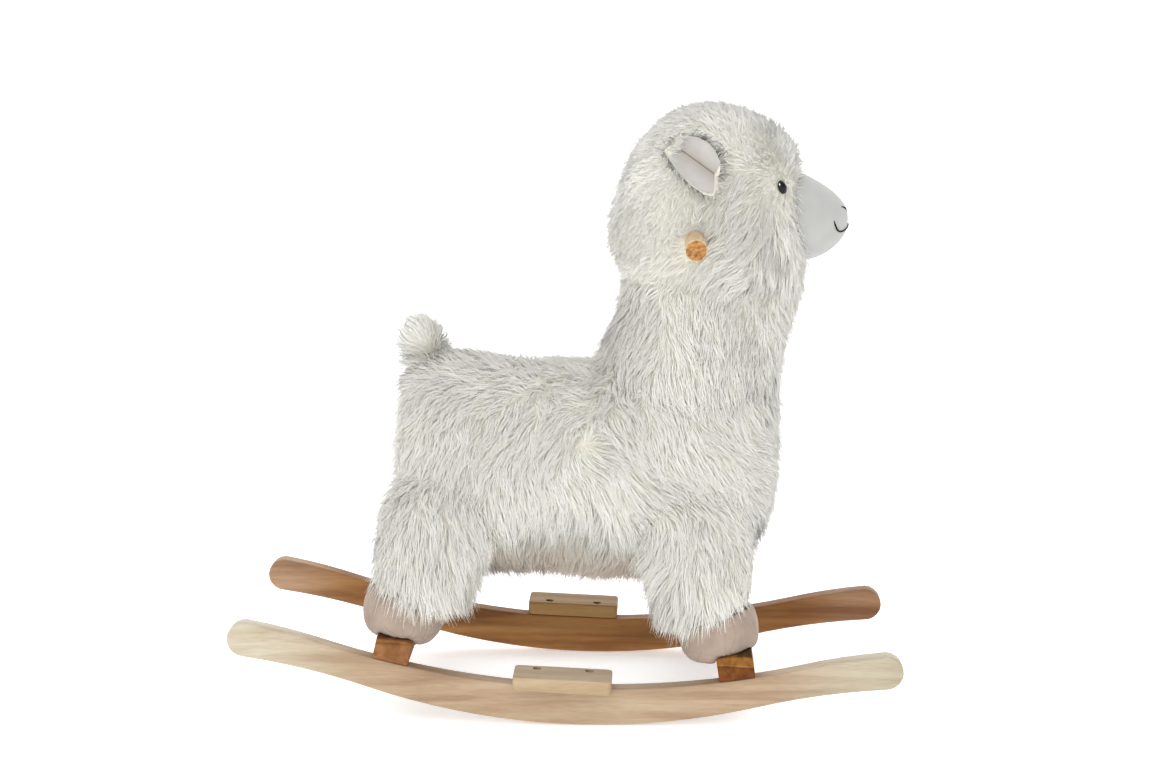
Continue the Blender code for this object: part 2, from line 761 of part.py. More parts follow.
def make_plush(stands, finish_of):
    fur = finish_of["fur"]
    spaces = frame_spaces(stands)
    dowel_space = dowel("handle_space", HANDLE_DIAMETER / 2 + GAP, HANDLE_LENGTH + CUT_PAST, GAP, None)
    hide_cutter(dowel_space)
    body_space = hide_cutter(body_form("body_space", GAP, None))
    head_space = hide_cutter(head_form("head_space", GAP, None))
    plush = {"body": body_form("plush_body", 0.0, fur), "head": head_form("plush_head", 0.0, fur)}
    cut(plush["body"], list(spaces.values()))
    cut(plush["head"], [spaces["neck_board_space"], dowel_space])
    plush["neck"] = neck_form("plush_neck", 0.0, fur)
    cut(plush["neck"], [body_space, head_space, spaces["neck_board_space"]])
    plush["muzzle"] = muzzle_form("plush_muzzle", 0.0, finish_of["nap"])
    cut(plush["muzzle"], [head_space])
    for end, stand in stands.items():
        bar_space = hide_cutter(crossbar_box(f"{end}_crossbar_space", stand, GAP, None))
        for side in SIDES:
            post_space = spaces[f"{end}_{side}_post_space"]
            leg = leg_form(f"{end}_{side}_plush_leg", end, side, stand, 0.0, fur)
            cut(leg, [body_space, post_space, spaces[f"{end}_beam_space"]])
            leg_space = hide_cutter(leg_form(f"{end}_{side}_leg_space", end, side, stand, GAP, None))
            hoof = hoof_form(f"{end}_{side}_hoof", end, side, stand, finish_of["linen"])
            cut(hoof, [leg_space, post_space, bar_space])
    return plush


def make_tail(body, fur):
    surface, _ = hit(surface_of(body), (TAIL_X, 0, 1), (0, 0, -1))
    turns = [math.radians(turn) for turn in BALL_TURNS]
    root = [(-TAIL_BALL * math.cos(t), TAIL_BALL * math.sin(t)) for t in turns]
    rings = [(Vector((0, 0, t)), Vector((r, 0, 0)), Vector((0, r, 0))) for t, r in [*root, *TAIL]]
    tail = smooth(add_object("plush_tail", bulge(rings, SMALL_SIDES), fur))
    tail.location = surface
    tail.rotation_euler.y = -TAIL_LEAN
    seat_data = bmesh.new()
    radius = (TAIL_BALL + GAP) / math.cos(math.pi / SMALL_SIDES) ** 2
    bmesh.ops.create_uvsphere(seat_data, u_segments=SMALL_SIDES, v_segments=SMALL_SIDES, radius=radius)
    seat = hide_cutter(add_object("tail_seat", seat_data, None))
    seat.location = surface
    seat.rotation_euler.y = -TAIL_LEAN
    cut(body, [seat])
    return tail


# Ears and face


def leaf(name, rows, low, high, margin, material, parent):
    # A leaf folded to a shallow V: rows of distance and half width, between two heights over its middle plane
    data = bmesh.new()
    middle = (low + high) / 2
    sheets = []
    for level in (low, high):
        sheet = []
        for distance, half_width, thickness in rows:
            row = []
            for share in EAR_ROW_SHARES:
                y = (half_width - margin) * share
                edge = EAR_EDGE_SHARE if abs(share) == 1 else 1.0
                z = middle + EAR_FOLD_SLOPE * abs(y) + (level - middle) * thickness * edge
                row.append(data.verts.new((distance, y, z)))
            sheet.append(row)
        sheets.append(sheet)
    for sheet in sheets:
        for first, second in zip(sheet, sheet[1:]):
            for i in range(len(EAR_ROW_SHARES) - 1):
                data.faces.new((first[i], first[i + 1], second[i + 1], second[i]))
    lower, upper = sheets
    rim_low = [row[0] for row in lower] + lower[-1][1:-1] + [row[-1] for row in reversed(lower)] + lower[0][-2:0:-1]
    rim_high = [row[0] for row in upper] + upper[-1][1:-1] + [row[-1] for row in reversed(upper)] + upper[0][-2:0:-1]
    for i in range(len(rim_low)):
        j = (i + 1) % len(rim_low)
        data.faces.new((rim_low[i], rim_low[j], rim_high[j], rim_high[i]))
    return smooth(add_object(name, data, material, parent))


def make_ears(head, finish_of):
    tree = surface_of(head)
    ball = EAR_THICKNESS / 2
    turns = [math.radians(turn) for turn in BALL_TURNS]
    base = [
        (-EAR_BASE_RADIUS * math.cos(t), EAR_BASE_HALF_WIDTH, EAR_BASE_RADIUS * math.sin(t) / ball)
        for t in turns
    ]
    blade = [(distance, half_width, 1.0) for distance, half_width in EAR[:-1]]
    tip = (*EAR[-1], EAR_TIP_SHARE)
    for side, sign in SIDES.items():
        place, root_normal = hit(tree, (EAR_ROOT[0], sign, EAR_ROOT[1]), (0, -sign, 0))
        normal = side_normal(tree, EAR_LEVEL, sign)
        outward = (math.sin(EAR_DROOP) * normal.z - math.cos(EAR_DROOP) * normal.x) / normal.y
        along = Vector((math.cos(EAR_DROOP), outward, -math.sin(EAR_DROOP))).normalized()
        turn = Matrix((along, normal.cross(along), normal)).transposed().to_euler()
        hinge = bpy.data.objects.new(f"{side}_ear_hinge", None)
        bpy.context.collection.objects.link(hinge)
        hinge.location = place + root_normal * (EAR_BASE_RADIUS + GAP)
        hinge.rotation_euler = turn
        leaf(f"{side}_ear", [*base, *blade, tip], -ball, ball, 0.0, finish_of["fur"], hinge)
        low = ball + GAP
        name = f"{side}_ear_lining"
        leaf(name, blade, low, low + LINING_THICKNESS, LINING_MARGIN, finish_of["pink_fabric"], hinge)


def make_eyes(head, head_space, black):
    tree = surface_of(head)
    for side, sign in SIDES.items():
        place, normal = hit(tree, (EYE_AT[0], sign, EYE_AT[1]), (0, -sign, 0))
        data = bmesh.new()
        bmesh.ops.create_uvsphere(data, u_segments=SMALL_SIDES, v_segments=EYE_ROWS, radius=1.0)
        bmesh.ops.scale(data, vec=(EYE_HALF_WIDTH, EYE_HALF_LENGTH, EYE_DEPTH), verts=data.verts)
        eye = smooth(add_object(f"{side}_eye", data, black))
        eye.location = place + normal * GAP
        upright = Vector((-math.sin(EYE_TILT), 0, math.cos(EYE_TILT)))
        long_axis = (upright - normal * upright.dot(normal)).normalized()
        eye.rotation_euler = Matrix((long_axis.cross(normal), long_axis, normal)).transposed().to_euler()
        cut(eye, [head_space])


def thread(name, tree, points, black):
    # Embroidery thread, laid on the muzzle through points of y and z
    spline_points = smooth_rows(points, 3)
    curve = bpy.data.curves.new(name, "CURVE")
    curve.dimensions = "3D"
    curve.bevel_depth = THREAD_RADIUS
    curve.bevel_resolution = 1
    curve.use_fill_caps = True
    line = curve.splines.new("POLY")
    line.points.add(len(spline_points) - 1)
    for point, (y, z) in zip(line.points, spline_points):
        place, normal = hit(tree, (1, y, z), (-1, 0, 0))
        point.co = (*(place + normal * (THREAD_RADIUS + THREAD_CLEARANCE)), 1.0)
    curve.materials.append(black)
    thing = bpy.data.objects.new(name, curve)
    bpy.context.collection.objects.link(thing)
    return thing


def make_stitches(muzzle, black):
    tree = surface_of(muzzle)
    half = [(-y, z) for y, z in MOUTH]
    thread("mouth_stitch", tree, [*half, *reversed(MOUTH[:-1])], black)
    for side, sign in SIDES.items():
        thread(f"{side}_nostril_stitch", tree, [(sign * y, z) for y, z in NOSTRIL], black)


def set_at_rest():
    # Rolls the whole toy on its runners, and keeps the origin under the middle between their tips.
    things = [thing for thing in bpy.data.objects if thing.parent is None]
    toy = bpy.data.objects.new("toy", None)
    bpy.context.collection.objects.link(toy)
    toy.rotation_euler.y = REST_TILT
    toy.location.x = -math.sin(REST_TILT) * tip_height()
    toy.location.z = RUNNER_BOTTOM_RADIUS * (1 - math.cos(REST_TILT))
    for thing in things:
        thing.parent = toy


def main():
    clear_scene()
    finish_of = finishes()
    stands = make_stands()
    runners = make_runners(finish_of["pine"])
    footrests = make_footrests(finish_of["pine"])
    crossbars = make_crossbars(stands, finish_of["brown_wood"])
    posts = make_posts(stands, finish_of["inner_wood"])
    frame = make_frame(finish_of)
    make_base_screws(stands, runners, footrests, crossbars, posts, finish_of["steel"])
    make_frame_screws(frame, posts, finish_of["steel"])
    plush = make_plush(stands, finish_of)
    bpy.context.view_layer.update()
    make_tail(plush["body"], finish_of["fur"])
    make_ears(plush["head"], finish_of)
    make_eyes(plush["head"], bpy.data.objects["head_space"], finish_of["black_plastic"])
    make_stitches(plush["muzzle"], finish_of["black_thread"])
    set_at_rest()


main()
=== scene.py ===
# Looks of the rocking llama toy: shaggy plush and soft cloth over a wooden rocker. Lengths are in metres.
import json
import math

import bmesh
import bpy
import numpy as np
from mathutils import Matrix, Vector, noise
from mathutils.bvhtree import BVHTree

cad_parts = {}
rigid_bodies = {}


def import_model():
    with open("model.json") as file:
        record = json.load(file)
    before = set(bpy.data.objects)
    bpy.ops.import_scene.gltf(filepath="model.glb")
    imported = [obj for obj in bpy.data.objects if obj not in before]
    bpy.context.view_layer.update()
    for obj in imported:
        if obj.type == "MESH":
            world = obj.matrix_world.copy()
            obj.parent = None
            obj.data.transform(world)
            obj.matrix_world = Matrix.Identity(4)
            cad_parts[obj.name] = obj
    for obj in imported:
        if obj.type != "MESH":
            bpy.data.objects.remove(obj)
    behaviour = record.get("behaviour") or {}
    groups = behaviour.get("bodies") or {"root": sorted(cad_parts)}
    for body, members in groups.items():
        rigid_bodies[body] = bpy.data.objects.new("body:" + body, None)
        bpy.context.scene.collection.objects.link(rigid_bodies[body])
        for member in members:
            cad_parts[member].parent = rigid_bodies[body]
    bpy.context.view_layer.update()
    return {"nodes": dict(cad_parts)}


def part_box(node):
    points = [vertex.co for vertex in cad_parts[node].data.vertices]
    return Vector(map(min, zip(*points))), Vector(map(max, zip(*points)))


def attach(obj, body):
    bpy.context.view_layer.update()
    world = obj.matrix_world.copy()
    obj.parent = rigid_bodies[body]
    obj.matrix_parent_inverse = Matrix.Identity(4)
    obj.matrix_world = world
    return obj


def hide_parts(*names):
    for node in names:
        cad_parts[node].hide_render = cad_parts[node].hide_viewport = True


noise.seed_set(3)  # noise vectors differ from run to run without it
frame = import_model()
nodes = frame["nodes"]
sides = ("right", "left")
ends = ("rear", "front")
corners = [f"{end}_{side}" for end in ends for side in sides]

# The toy rests rolled a little forward. Places given as level are turned into the frame by this.
rest = {"tilt": 2.5, "shift": (-0.003215, 0.0, 0.000695)}
fromLevel = Matrix.Translation(rest["shift"]) @ Matrix.Rotation(math.radians(rest["tilt"]), 4, "Y")
toLevel = fromLevel.inverted()
print("frame loaded:", len(nodes), "nodes")


# Small helpers

def fromHex(code):
    # An sRGB colour as linear values
    values = [int(code[i : i + 2], 16) / 255 for i in (1, 3, 5)]
    return (*[v / 12.92 if v <= 0.04045 else ((v + 0.055) / 1.055) ** 2.4 for v in values], 1.0)


# Settings that several nodes share
multiply = {"operation": "MULTIPLY"}
multiplyAdd = {"operation": "MULTIPLY_ADD"}
subtract = {"operation": "SUBTRACT"}
scaleVector = {"operation": "SCALE"}
mixVectors = {"data_type": "VECTOR"}
mixColours = {"data_type": "RGBA"}
multiplyColours = {"data_type": "RGBA", "blend_type": "MULTIPLY"}


def addNode(tree, kind, settings=None, inputs=None):
    node = tree.nodes.new(kind)
    for name, value in (settings or {}).items():
        setattr(node, name, value)
    for key, value in (inputs or {}).items():
        if isinstance(value, bpy.types.NodeSocket):
            tree.links.new(value, node.inputs[key])
        else:
            node.inputs[key].default_value = value
    return node


def newMaterial(name, colour, roughness, values=None):
    material = bpy.data.materials.new(name)
    material.use_nodes = True
    shader = material.node_tree.nodes["Principled BSDF"]
    shader.inputs["Base Color"].default_value = fromHex(colour)
    shader.inputs["Roughness"].default_value = roughness
    for key, value in (values or {}).items():
        shader.inputs[key].default_value = value
    return material, material.node_tree, shader


def setRamp(node, stops):
    # Colour stops of a ramp: place and sRGB hex
    ramp = node.color_ramp
    while len(ramp.elements) < len(stops):
        ramp.elements.new(0.5)
    for element, (place, code) in zip(ramp.elements, stops):
        element.position = place
        element.color = fromHex(code)
    return node.outputs["Color"]


def middleOf(name):
    return sum(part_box(name), Vector()) / 2


def past(value, edge):
    # 0 before the start of an edge and 1 past its width. A negative width counts downwards
    start, width = edge
    return min(1.0, max(0.0, (value - start) / width))


def joinedNodes(names):
    # The meshes of CAD nodes as one, with the loose triangles sewn together
    data = bmesh.new()
    for name in names:
        data.from_mesh(nodes[name].data)
    bmesh.ops.remove_doubles(data, verts=data.verts, dist=1e-5)
    return data


def surfaceOf(names):
    data = joinedNodes(names)
    tree = BVHTree.FromBMesh(data)
    data.free()
    return tree


def meshOf(data, name):
    mesh = bpy.data.meshes.new(name)
    data.to_mesh(mesh)
    data.free()
    return mesh


def addObject(name, data):
    thing = bpy.data.objects.new(name, data)
    bpy.context.collection.objects.link(thing)
    return thing


def applied(thing):
    # The evaluated mesh of an object, which then has no modifiers left
    bpy.context.view_layer.update()
    depsgraph = bpy.context.evaluated_depsgraph_get()
    mesh = bpy.data.meshes.new_from_object(thing.evaluated_get(depsgraph))
    thing.modifiers.clear()
    thing.data = mesh
    return thing


def rounded(thing, levels):
    modifier = thing.modifiers.new("round", "SUBSURF")
    modifier.levels = levels
    modifier.render_levels = levels
    return applied(thing)


def smoothed(data, times):
    for _ in range(times):
        bmesh.ops.smooth_vert(
            data, verts=data.verts, factor=0.5, use_axis_x=True, use_axis_y=True, use_axis_z=True
        )


def paint(mesh, name):
    mesh.materials.clear()
    mesh.materials.append(materials[name])


def finishPiece(thing, body, replaced, material=None):
    thing.data.name = thing.name
    if material is not None:
        thing.data.shade_smooth()
        paint(thing.data, material)
    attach(thing, body)
    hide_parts(*replaced)
    return thing


# Materials

pile = {
    "along": ((0.0, "#DFDDD4"), (0.06, "#EDEBE2"), (0.3, "#F0EFE8"), (1.0, "#F1F0EB")),  # root to tip; darker and warmer at the root, which also colours the backing, as painted shade among the strands
    "tone": (  # from lock to lock at random, and at the upper end painted shade: pale grey on the crown and the ears, beige-grey under the belly
        (0.0, "#F8F5EE"), (0.08, "#FFFEFB"), (0.22, "#FFFFFF"), (0.5, "#E2E1DD"), (1.0, "#DCCEC2"),
    ),
}


def makeFurMaterial():
    # Long acrylic plush pile: matt fibres, off-white, with painted shade a little darker and warmer down at
    # the backing
    material, tree, shader = newMaterial("acrylicPlushPile", "#F2F0EA", 0.75, {"Specular IOR Level": 0.2})
    place = addNode(tree, "ShaderNodeUVMap", {"uv_map": "OFBake"}).outputs["UV"]
    split = addNode(tree, "ShaderNodeSeparateXYZ", inputs={0: place}).outputs
    along = addNode(tree, "ShaderNodeValToRGB", inputs={0: split["Y"]})
    tone = addNode(tree, "ShaderNodeValToRGB", inputs={0: split["X"]})
    colours = {0: 1.0, 6: setRamp(along, pile["along"]), 7: setRamp(tone, pile["tone"])}
    mixed = addNode(tree, "ShaderNodeMix", multiplyColours, colours)
    tree.links.new(mixed.outputs[2], shader.inputs["Base Color"])
    return material


cloths = {
    # Short brushed plush on the muzzle: soft pale grey, with a fine pile that scatters light at the edges
    "shortNapPlush": {
        "colour": "#A9A9A6", "roughness": 0.9, "sheen": 0.25, "sheenRoughness": 0.6,
        "tones": ((0.3, "#A1A19E"), (0.7, "#ABABA8")), "patches": {"Scale": 35.0, "Detail": 2.0},
        "spacing": 0.0012,  # of the tufts, drawn coarser than the real 0.3 mm so that it shows
        "detail": 3.0, "relief": {"Strength": 0.5, "Distance": 0.0006},
    },
    # Short-pile beige cloth of the hooves: matt and faintly cloudy, with an uneven weave
    "beigeHoofCloth": {
        "colour": "#C2B0A0", "roughness": 0.92, "sheen": 0.15,
        "tones": ((0.25, "#928174"), (0.75, "#A79586")), "patches": {"Scale": 45.0, "Detail": 4.0},
        "spacing": 0.0011,  # of the threads, drawn coarser than the real 0.5 mm so that it shows
        "detail": 2.0, "relief": {"Strength": 0.4, "Distance": 0.0004},
    },
    # Pale pink-grey velour inside the ears, with painted shade dark down in the fold
    "pinkVelour": {
        "colour": "#B7B0AD", "roughness": 0.9, "sheen": 0.2,
        "tones": ((0.3, "#AAA5A1"), (0.7, "#B4B0AC")), "patches": {"Scale": 70.0, "Detail": 3.0},
        "fold": (
            (0.0, "#7C745C"), (0.025, "#A59D88"), (0.07, "#E8E3DC"), (0.4, "#F6F4F2"), (1.0, "#FFFFFF"),
        ),
    },
}


def makeCloth(name, look):
    # Soft patches of two tones, painted shade towards a fold where the cloth has one, and where the cloth
    # has a spacing, a fine relief
    sheen = {"Sheen Weight": look["sheen"], "Sheen Roughness": look.get("sheenRoughness", 0.5)}
    material, tree, shader = newMaterial(name, look["colour"], look["roughness"], sheen)
    place = addNode(tree, "ShaderNodeTexCoord").outputs["Object"]
    patches = addNode(tree, "ShaderNodeTexNoise", inputs={"Vector": place, **look["patches"]})
    ramp = addNode(tree, "ShaderNodeValToRGB", inputs={0: patches.outputs["Fac"]})
    colour = setRamp(ramp, look["tones"])
    # Painted shade: darker towards the fold
    if "fold" in look:
        fold = addNode(tree, "ShaderNodeAttribute", {"attribute_name": "foldDistance"})
        shade = addNode(tree, "ShaderNodeValToRGB", inputs={0: fold.outputs["Fac"]})
        shaded = {0: 1.0, 6: colour, 7: setRamp(shade, look["fold"])}
        colour = addNode(tree, "ShaderNodeMix", multiplyColours, shaded).outputs[2]
    if "spacing" in look:
        fine = {"Vector": place, "Scale": 1 / look["spacing"], "Detail": look["detail"]}
        grain = addNode(tree, "ShaderNodeTexNoise", inputs=fine)
        bump = addNode(tree, "ShaderNodeBump", inputs={**look["relief"], "Height": grain.outputs["Fac"]})
        tree.links.new(bump.outputs["Normal"], shader.inputs["Normal"])
    tree.links.new(colour, shader.inputs["Base Color"])
    return material


bandRipple = {"waves": 120.0, "height": 0.0016}  # waves to the metre, of the edges of the glued layers and of the painted shade
screwHole = {"colour": "#3A2817", "from": 0.0002, "to": 0.0006}  # painted shade in a screw's hole: its colour, and the distances past the screw's edge over which it fades


def addLayersAndShade(tree, place, colour, look):
    # Colour by height, from the lower face (0) to the top (1): the glued layers of a bar, and painted shade
    heights = [(toLevel @ vertex.co).z for vertex in nodes[look["of"]].data.vertices]
    turned = {"Vector": place, "Rotation": toLevel.to_euler(), "Location": toLevel.translation}
    level = addNode(tree, "ShaderNodeMapping", inputs=turned)
    ripple = addNode(tree, "ShaderNodeTexNoise", inputs={"Vector": place, "Scale": bandRipple["waves"]})
    parts = addNode(tree, "ShaderNodeSeparateXYZ", inputs={0: level.outputs[0]})
    rippled = {0: ripple.outputs["Fac"], 1: bandRipple["height"], 2: parts.outputs["Z"]}
    wavy = addNode(tree, "ShaderNodeMath", multiplyAdd, rippled)
    span = {0: wavy.outputs[0], 1: min(heights), 2: max(heights)}
    share = addNode(tree, "ShaderNodeMapRange", inputs=span)
    ramp = addNode(tree, "ShaderNodeValToRGB", inputs={0: share.outputs[0]})
    shaded = {0: 1.0, 6: colour, 7: setRamp(ramp, look["layersAndShade"])}
    return addNode(tree, "ShaderNodeMix", multiplyColours, shaded).outputs[2]


def addHole(tree, place, colour, screw):
    # Painted shade on the wall of a screw's hole
    low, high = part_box(screw)
    middle = (low + high) / 2
    radius = (high.y - low.y) / 2
    flat = addNode(tree, "ShaderNodeVectorMath", multiply, {0: place, 1: (1.0, 1.0, 0.0)}).outputs[0]
    apart = addNode(
        tree, "ShaderNodeVectorMath", {"operation": "DISTANCE"}, {0: flat, 1: (middle.x, middle.y, 0.0)}
    ).outputs["Value"]
    wall = {0: apart, 1: radius + screwHole["from"], 2: radius + screwHole["to"]}
    share = addNode(tree, "ShaderNodeMapRange", inputs=wall).outputs[0]
    mixed = {0: share, 6: fromHex(screwHole["colour"]), 7: colour}
    return addNode(tree, "ShaderNodeMix", mixColours, mixed).outputs[2]


def makeWood(name, look):
    # Thinly lacquered wood: growth rings cut lengthways, so the figure is long along the piece's axis
    look = {**plainWood, **look}
    material, tree, shader = newMaterial(
        name, look["tones"][1], look["roughness"], {"Specular IOR Level": look["gloss"]}
    )
    place = addNode(tree, "ShaderNodeTexCoord").outputs["Object"]
    scale = [1 / look["long"] if axis == look["axis"] else 1.0 for axis in "XYZ"]
    stretched = {"Vector": place, "Scale": scale, "Location": look["shift"]}
    turned = addNode(tree, "ShaderNodeMapping", inputs=stretched).outputs["Vector"]
    waves = {"Vector": turned, "Scale": look["waves"], "Detail": 2.0}
    warp = addNode(tree, "ShaderNodeTexNoise", inputs=waves)
    bending = {0: warp.outputs["Color"], 1: (look["bend"],) * 3, 2: turned}
    bent = addNode(tree, "ShaderNodeVectorMath", multiplyAdd, bending).outputs["Vector"]
    # One cell of the coarsest noise spans four rings
    figure = {"Vector": bent, "Scale": 0.25 / look["ring"], "Detail": 4.0, "Roughness": 0.55}
    rings = addNode(tree, "ShaderNodeTexNoise", inputs=figure)
    streaks = {"Vector": turned, "Scale": look["fibres"], "Detail": 2.0}
    fibres = addNode(tree, "ShaderNodeTexNoise", inputs=streaks)
    colours = {}
    for key in [key for key in ("tones", "far") if key in look]:
        ramp = addNode(tree, "ShaderNodeValToRGB", inputs={0: rings.outputs["Fac"]})
        colours[key] = setRamp(ramp, list(zip((0.32, 0.5, 0.68), look[key])))
    parts = addNode(tree, "ShaderNodeSeparateXYZ", inputs={0: place}).outputs
    colour = colours["tones"]
    if "far" in look:
        out = addNode(tree, "ShaderNodeMath", {"operation": "ABSOLUTE"}, {0: parts[look["axis"]]})
        span = {0: out.outputs[0], 1: look["reach"][0], 2: look["reach"][1]}
        share = addNode(tree, "ShaderNodeMapRange", {"interpolation_type": "SMOOTHSTEP"}, span)
        mixed = {0: share.outputs[0], 6: colour, 7: colours["far"]}
        colour = addNode(tree, "ShaderNodeMix", mixColours, mixed).outputs[2]
    fine = addNode(tree, "ShaderNodeValToRGB", inputs={0: fibres.outputs["Fac"]})
    shaded = {0: 0.5, 6: colour, 7: setRamp(fine, ((0.3, "#E6DDD2"), (0.6, "#FFFFFF")))}
    colour = addNode(tree, "ShaderNodeMix", multiplyColours, shaded).outputs[2]
    if "nose" in look:
        span = {0: parts["X"], 1: look["noseReach"][0], 2: look["noseReach"][1]}
        forward = addNode(tree, "ShaderNodeMapRange", inputs=span).outputs[0]
        shaded = {0: forward, 6: colour, 7: fromHex(look["nose"])}
        colour = addNode(tree, "ShaderNodeMix", multiplyColours, shaded).outputs[2]
    # Glued layers and painted shade, by height
    if "layersAndShade" in look:
        colour = addLayersAndShade(tree, place, colour, look)
    for hole in look["holes"]:
        colour = addHole(tree, place, colour, hole)
    tree.links.new(colour, shader.inputs["Base Color"])
    relief = {"Strength": 0.12, "Distance": 0.0003, "Height": fibres.outputs["Fac"]}
    bump = addNode(tree, "ShaderNodeBump", inputs=relief)
    tree.links.new(bump.outputs["Normal"], shader.inputs["Normal"])
    return material


# tones: dark to light. far: tones past a distance from the middle (reach): paler towards the runners' tips,
# and the darker sawn end of the dowel.
# ring: spacing of the growth rings. long: how many times longer than wide their figure is.
# nose: tint of the front end. Colour by height on the piece "of": lines of glued layers, and painted shade.
# holes: screws whose holes are darkened with painted shade.
plainWood = {
    "axis": "X", "ring": 0.004, "long": 14, "shift": (0, 0, 0), "roughness": 0.5, "gloss": 0.2, "holes": (),
    "waves": 22.0, "bend": 0.03,  # waves of the figure to the metre, and how far they carry it
    "fibres": 900.0,  # streaks to the metre, drawn coarser than real fibres so that they show
    "noseReach": (0.2, 0.34),
}
woods = {
    "nearPine": {
        "tones": ("#92785F", "#A99176", "#B7A389"),
        "far": ("#AFA085", "#C0B8A5", "#CBC6B4"),
        "reach": (0.20, 0.34), "gloss": 0.3, "nose": "#E3DFD8",
    },
    "nearRestPine": {
        "tones": ("#9D8564", "#AF997A", "#BDAA8D"),
        "shift": (0, 0.2, 0), "gloss": 0.3,
        "holes": ("right_footrest_rear_screw", "right_footrest_front_screw"),
    },
    # Painted shade: the far runner is painted darker and browner than the near one, for the shade it stands
    # in under the toy
    "farPine": {
        "tones": ("#845930", "#A47543", "#B78A57"),
        "far": ("#916F52", "#B5967B", "#C6AB90"),
        "reach": (0.24, 0.34), "shift": (0, 0.3, 0), "roughness": 0.55, "nose": "#E4D4C9",
        "of": "left_runner",
        # Painted shade by height: darker above the lower edge, which stays lighter as painted light from the
        # floor
        "layersAndShade": (
            (0.0, "#FFFFFF"), (0.2, "#FFFFFF"), (0.32, "#D2CCC2"), (0.55, "#DCD4CA"), (1.0, "#D8D4CC"),
        ),
    },
    # Painted shade: the far footrest is painted darker than the near one, likewise
    "farRestPine": {
        "tones": ("#7C5D33", "#947142", "#A07F51"),
        "shift": (0, 0.5, 0), "roughness": 0.55,
        "holes": ("left_footrest_rear_screw", "left_footrest_front_screw"),
    },
    "rearBar": {
        "tones": ("#785331", "#8A6540", "#98744B"),
        "axis": "Y", "ring": 0.0025, "long": 5, "roughness": 0.75,
        "of": "rear_crossbar",
        # Lines of the glued layers, and at the top edge a painted shadow under the hoof
        "layersAndShade": (
            (0.0, "#F0D8D0"), (0.68, "#FFF4E8"), (0.78, "#D8B890"), (0.86, "#FFF0D8"), (0.97, "#8A7050"),
        ),
    },
    "frontBar": {
        "tones": ("#724F26", "#876331", "#97753B"),
        "axis": "Y", "ring": 0.0018, "long": 5, "shift": (0, 0.4, 0), "roughness": 0.75,
        "of": "front_crossbar",
        # Lines of the glued layers, and at the top edge a painted shadow under the hoof
        "layersAndShade": (
            (0.0, "#C89878"), (0.50, "#C8A080"), (0.58, "#B08868"), (0.62, "#FFFFFF"), (0.66, "#F0D0A8"),
            (0.9, "#F8E0C0"), (0.97, "#8A7858"),
        ),
    },
    "dowelWood": {
        "tones": ("#B39775", "#C6AF89", "#D4C19E"),
        "far": ("#6A4222", "#A67540", "#BE925C"),
        "axis": "Y", "reach": (0.1710, 0.1714), "ring": 0.0012, "long": 3, "gloss": 0.25,
    },
    "innerWood": {"tones": ("#A07C56", "#B8976F", "#C8AE8A"), "axis": "Z", "long": 12, "roughness": 0.7},
}

plain = {
    # Moulded and polished black plastic: a sharp highlight on black
    "polishedBlackPlastic": ("#050506", 0.05, {"Specular IOR Level": 0.25}),
    # Mercerised black cotton: a faint gleam
    "embroideryThread": ("#0B0A0C", 0.6, {"Specular IOR Level": 0.2}),
    # Zinc-plated screws, painted dark as shade down in their holes
    "zincSteel": ("#5B5752", 0.45, {"Metallic": 1.0}),
}

materials = {
    "acrylicPlushPile": makeFurMaterial(),
    **{name: makeCloth(name, look) for name, look in cloths.items()},
    **{name: makeWood(name, look) for name, look in woods.items()},
    **{name: newMaterial(name, *look)[0] for name, look in plain.items()},
}
print("materials made:", len(materials))


# Wood and screws keep their CAD shapes

def paintNodes():
    for name in nodes:
        if name.endswith(("_screw", "_bolt")) or "_screw_" in name:
            paint(nodes[name].data, "zincSteel")
        elif name.endswith(("_post", "_beam", "_board")):
            paint(nodes[name].data, "innerWood")
    # The far side gets the darker pine, as painted shade
    for side, pine in (("right", "near"), ("left", "far")):
        paint(nodes[f"{side}_runner"].data, f"{pine}Pine")
        paint(nodes[f"{side}_footrest"].data, f"{pine}RestPine")
    for end in ends:
        paint(nodes[f"{end}_crossbar"].data, f"{end}Bar")
    paint(nodes["handle"].data, "dowelWood")


paintNodes()
print("wood and screws painted")


# Plush: one cover over body, neck, head and legs, which is then cut into its sewn panels

legNames = [f"{corner}_plush_leg" for corner in corners]
cover = {
    "panels": ["plush_body", "plush_neck", "plush_head", *legNames],
    "stuffing": ["seat_board", "neck_board", *(f"{end}_cross_beam" for end in ends)]
    + [f"{corner}_leg_post" for corner in corners],
    "voxel": 0.006,
    "smoothing": 22,
    "fillet": 0.003,  # how far the cover may stand off the solids in the hollows between them
    "drawnBack": 0.7,  # share of what is more that is taken back
    "lumpHeight": 0.0025,
    "lumpSize": 0.050,
    "backing": 0.0015,  # thickness of the knitted backing
}
handle = {
    "place": (0.1155, 0.0, 0.5105),  # level
    "plugReach": 0.082, "plugRadius": 0.0125, "plugSides": 24,
    "outer": 0.06,  # how far from the middle the fur starts to make room for it
}
smallPlush = {"tail": 0.003, "ear": 0.0015, "smoothing": 3}  # voxel sizes, and rounds of smoothing

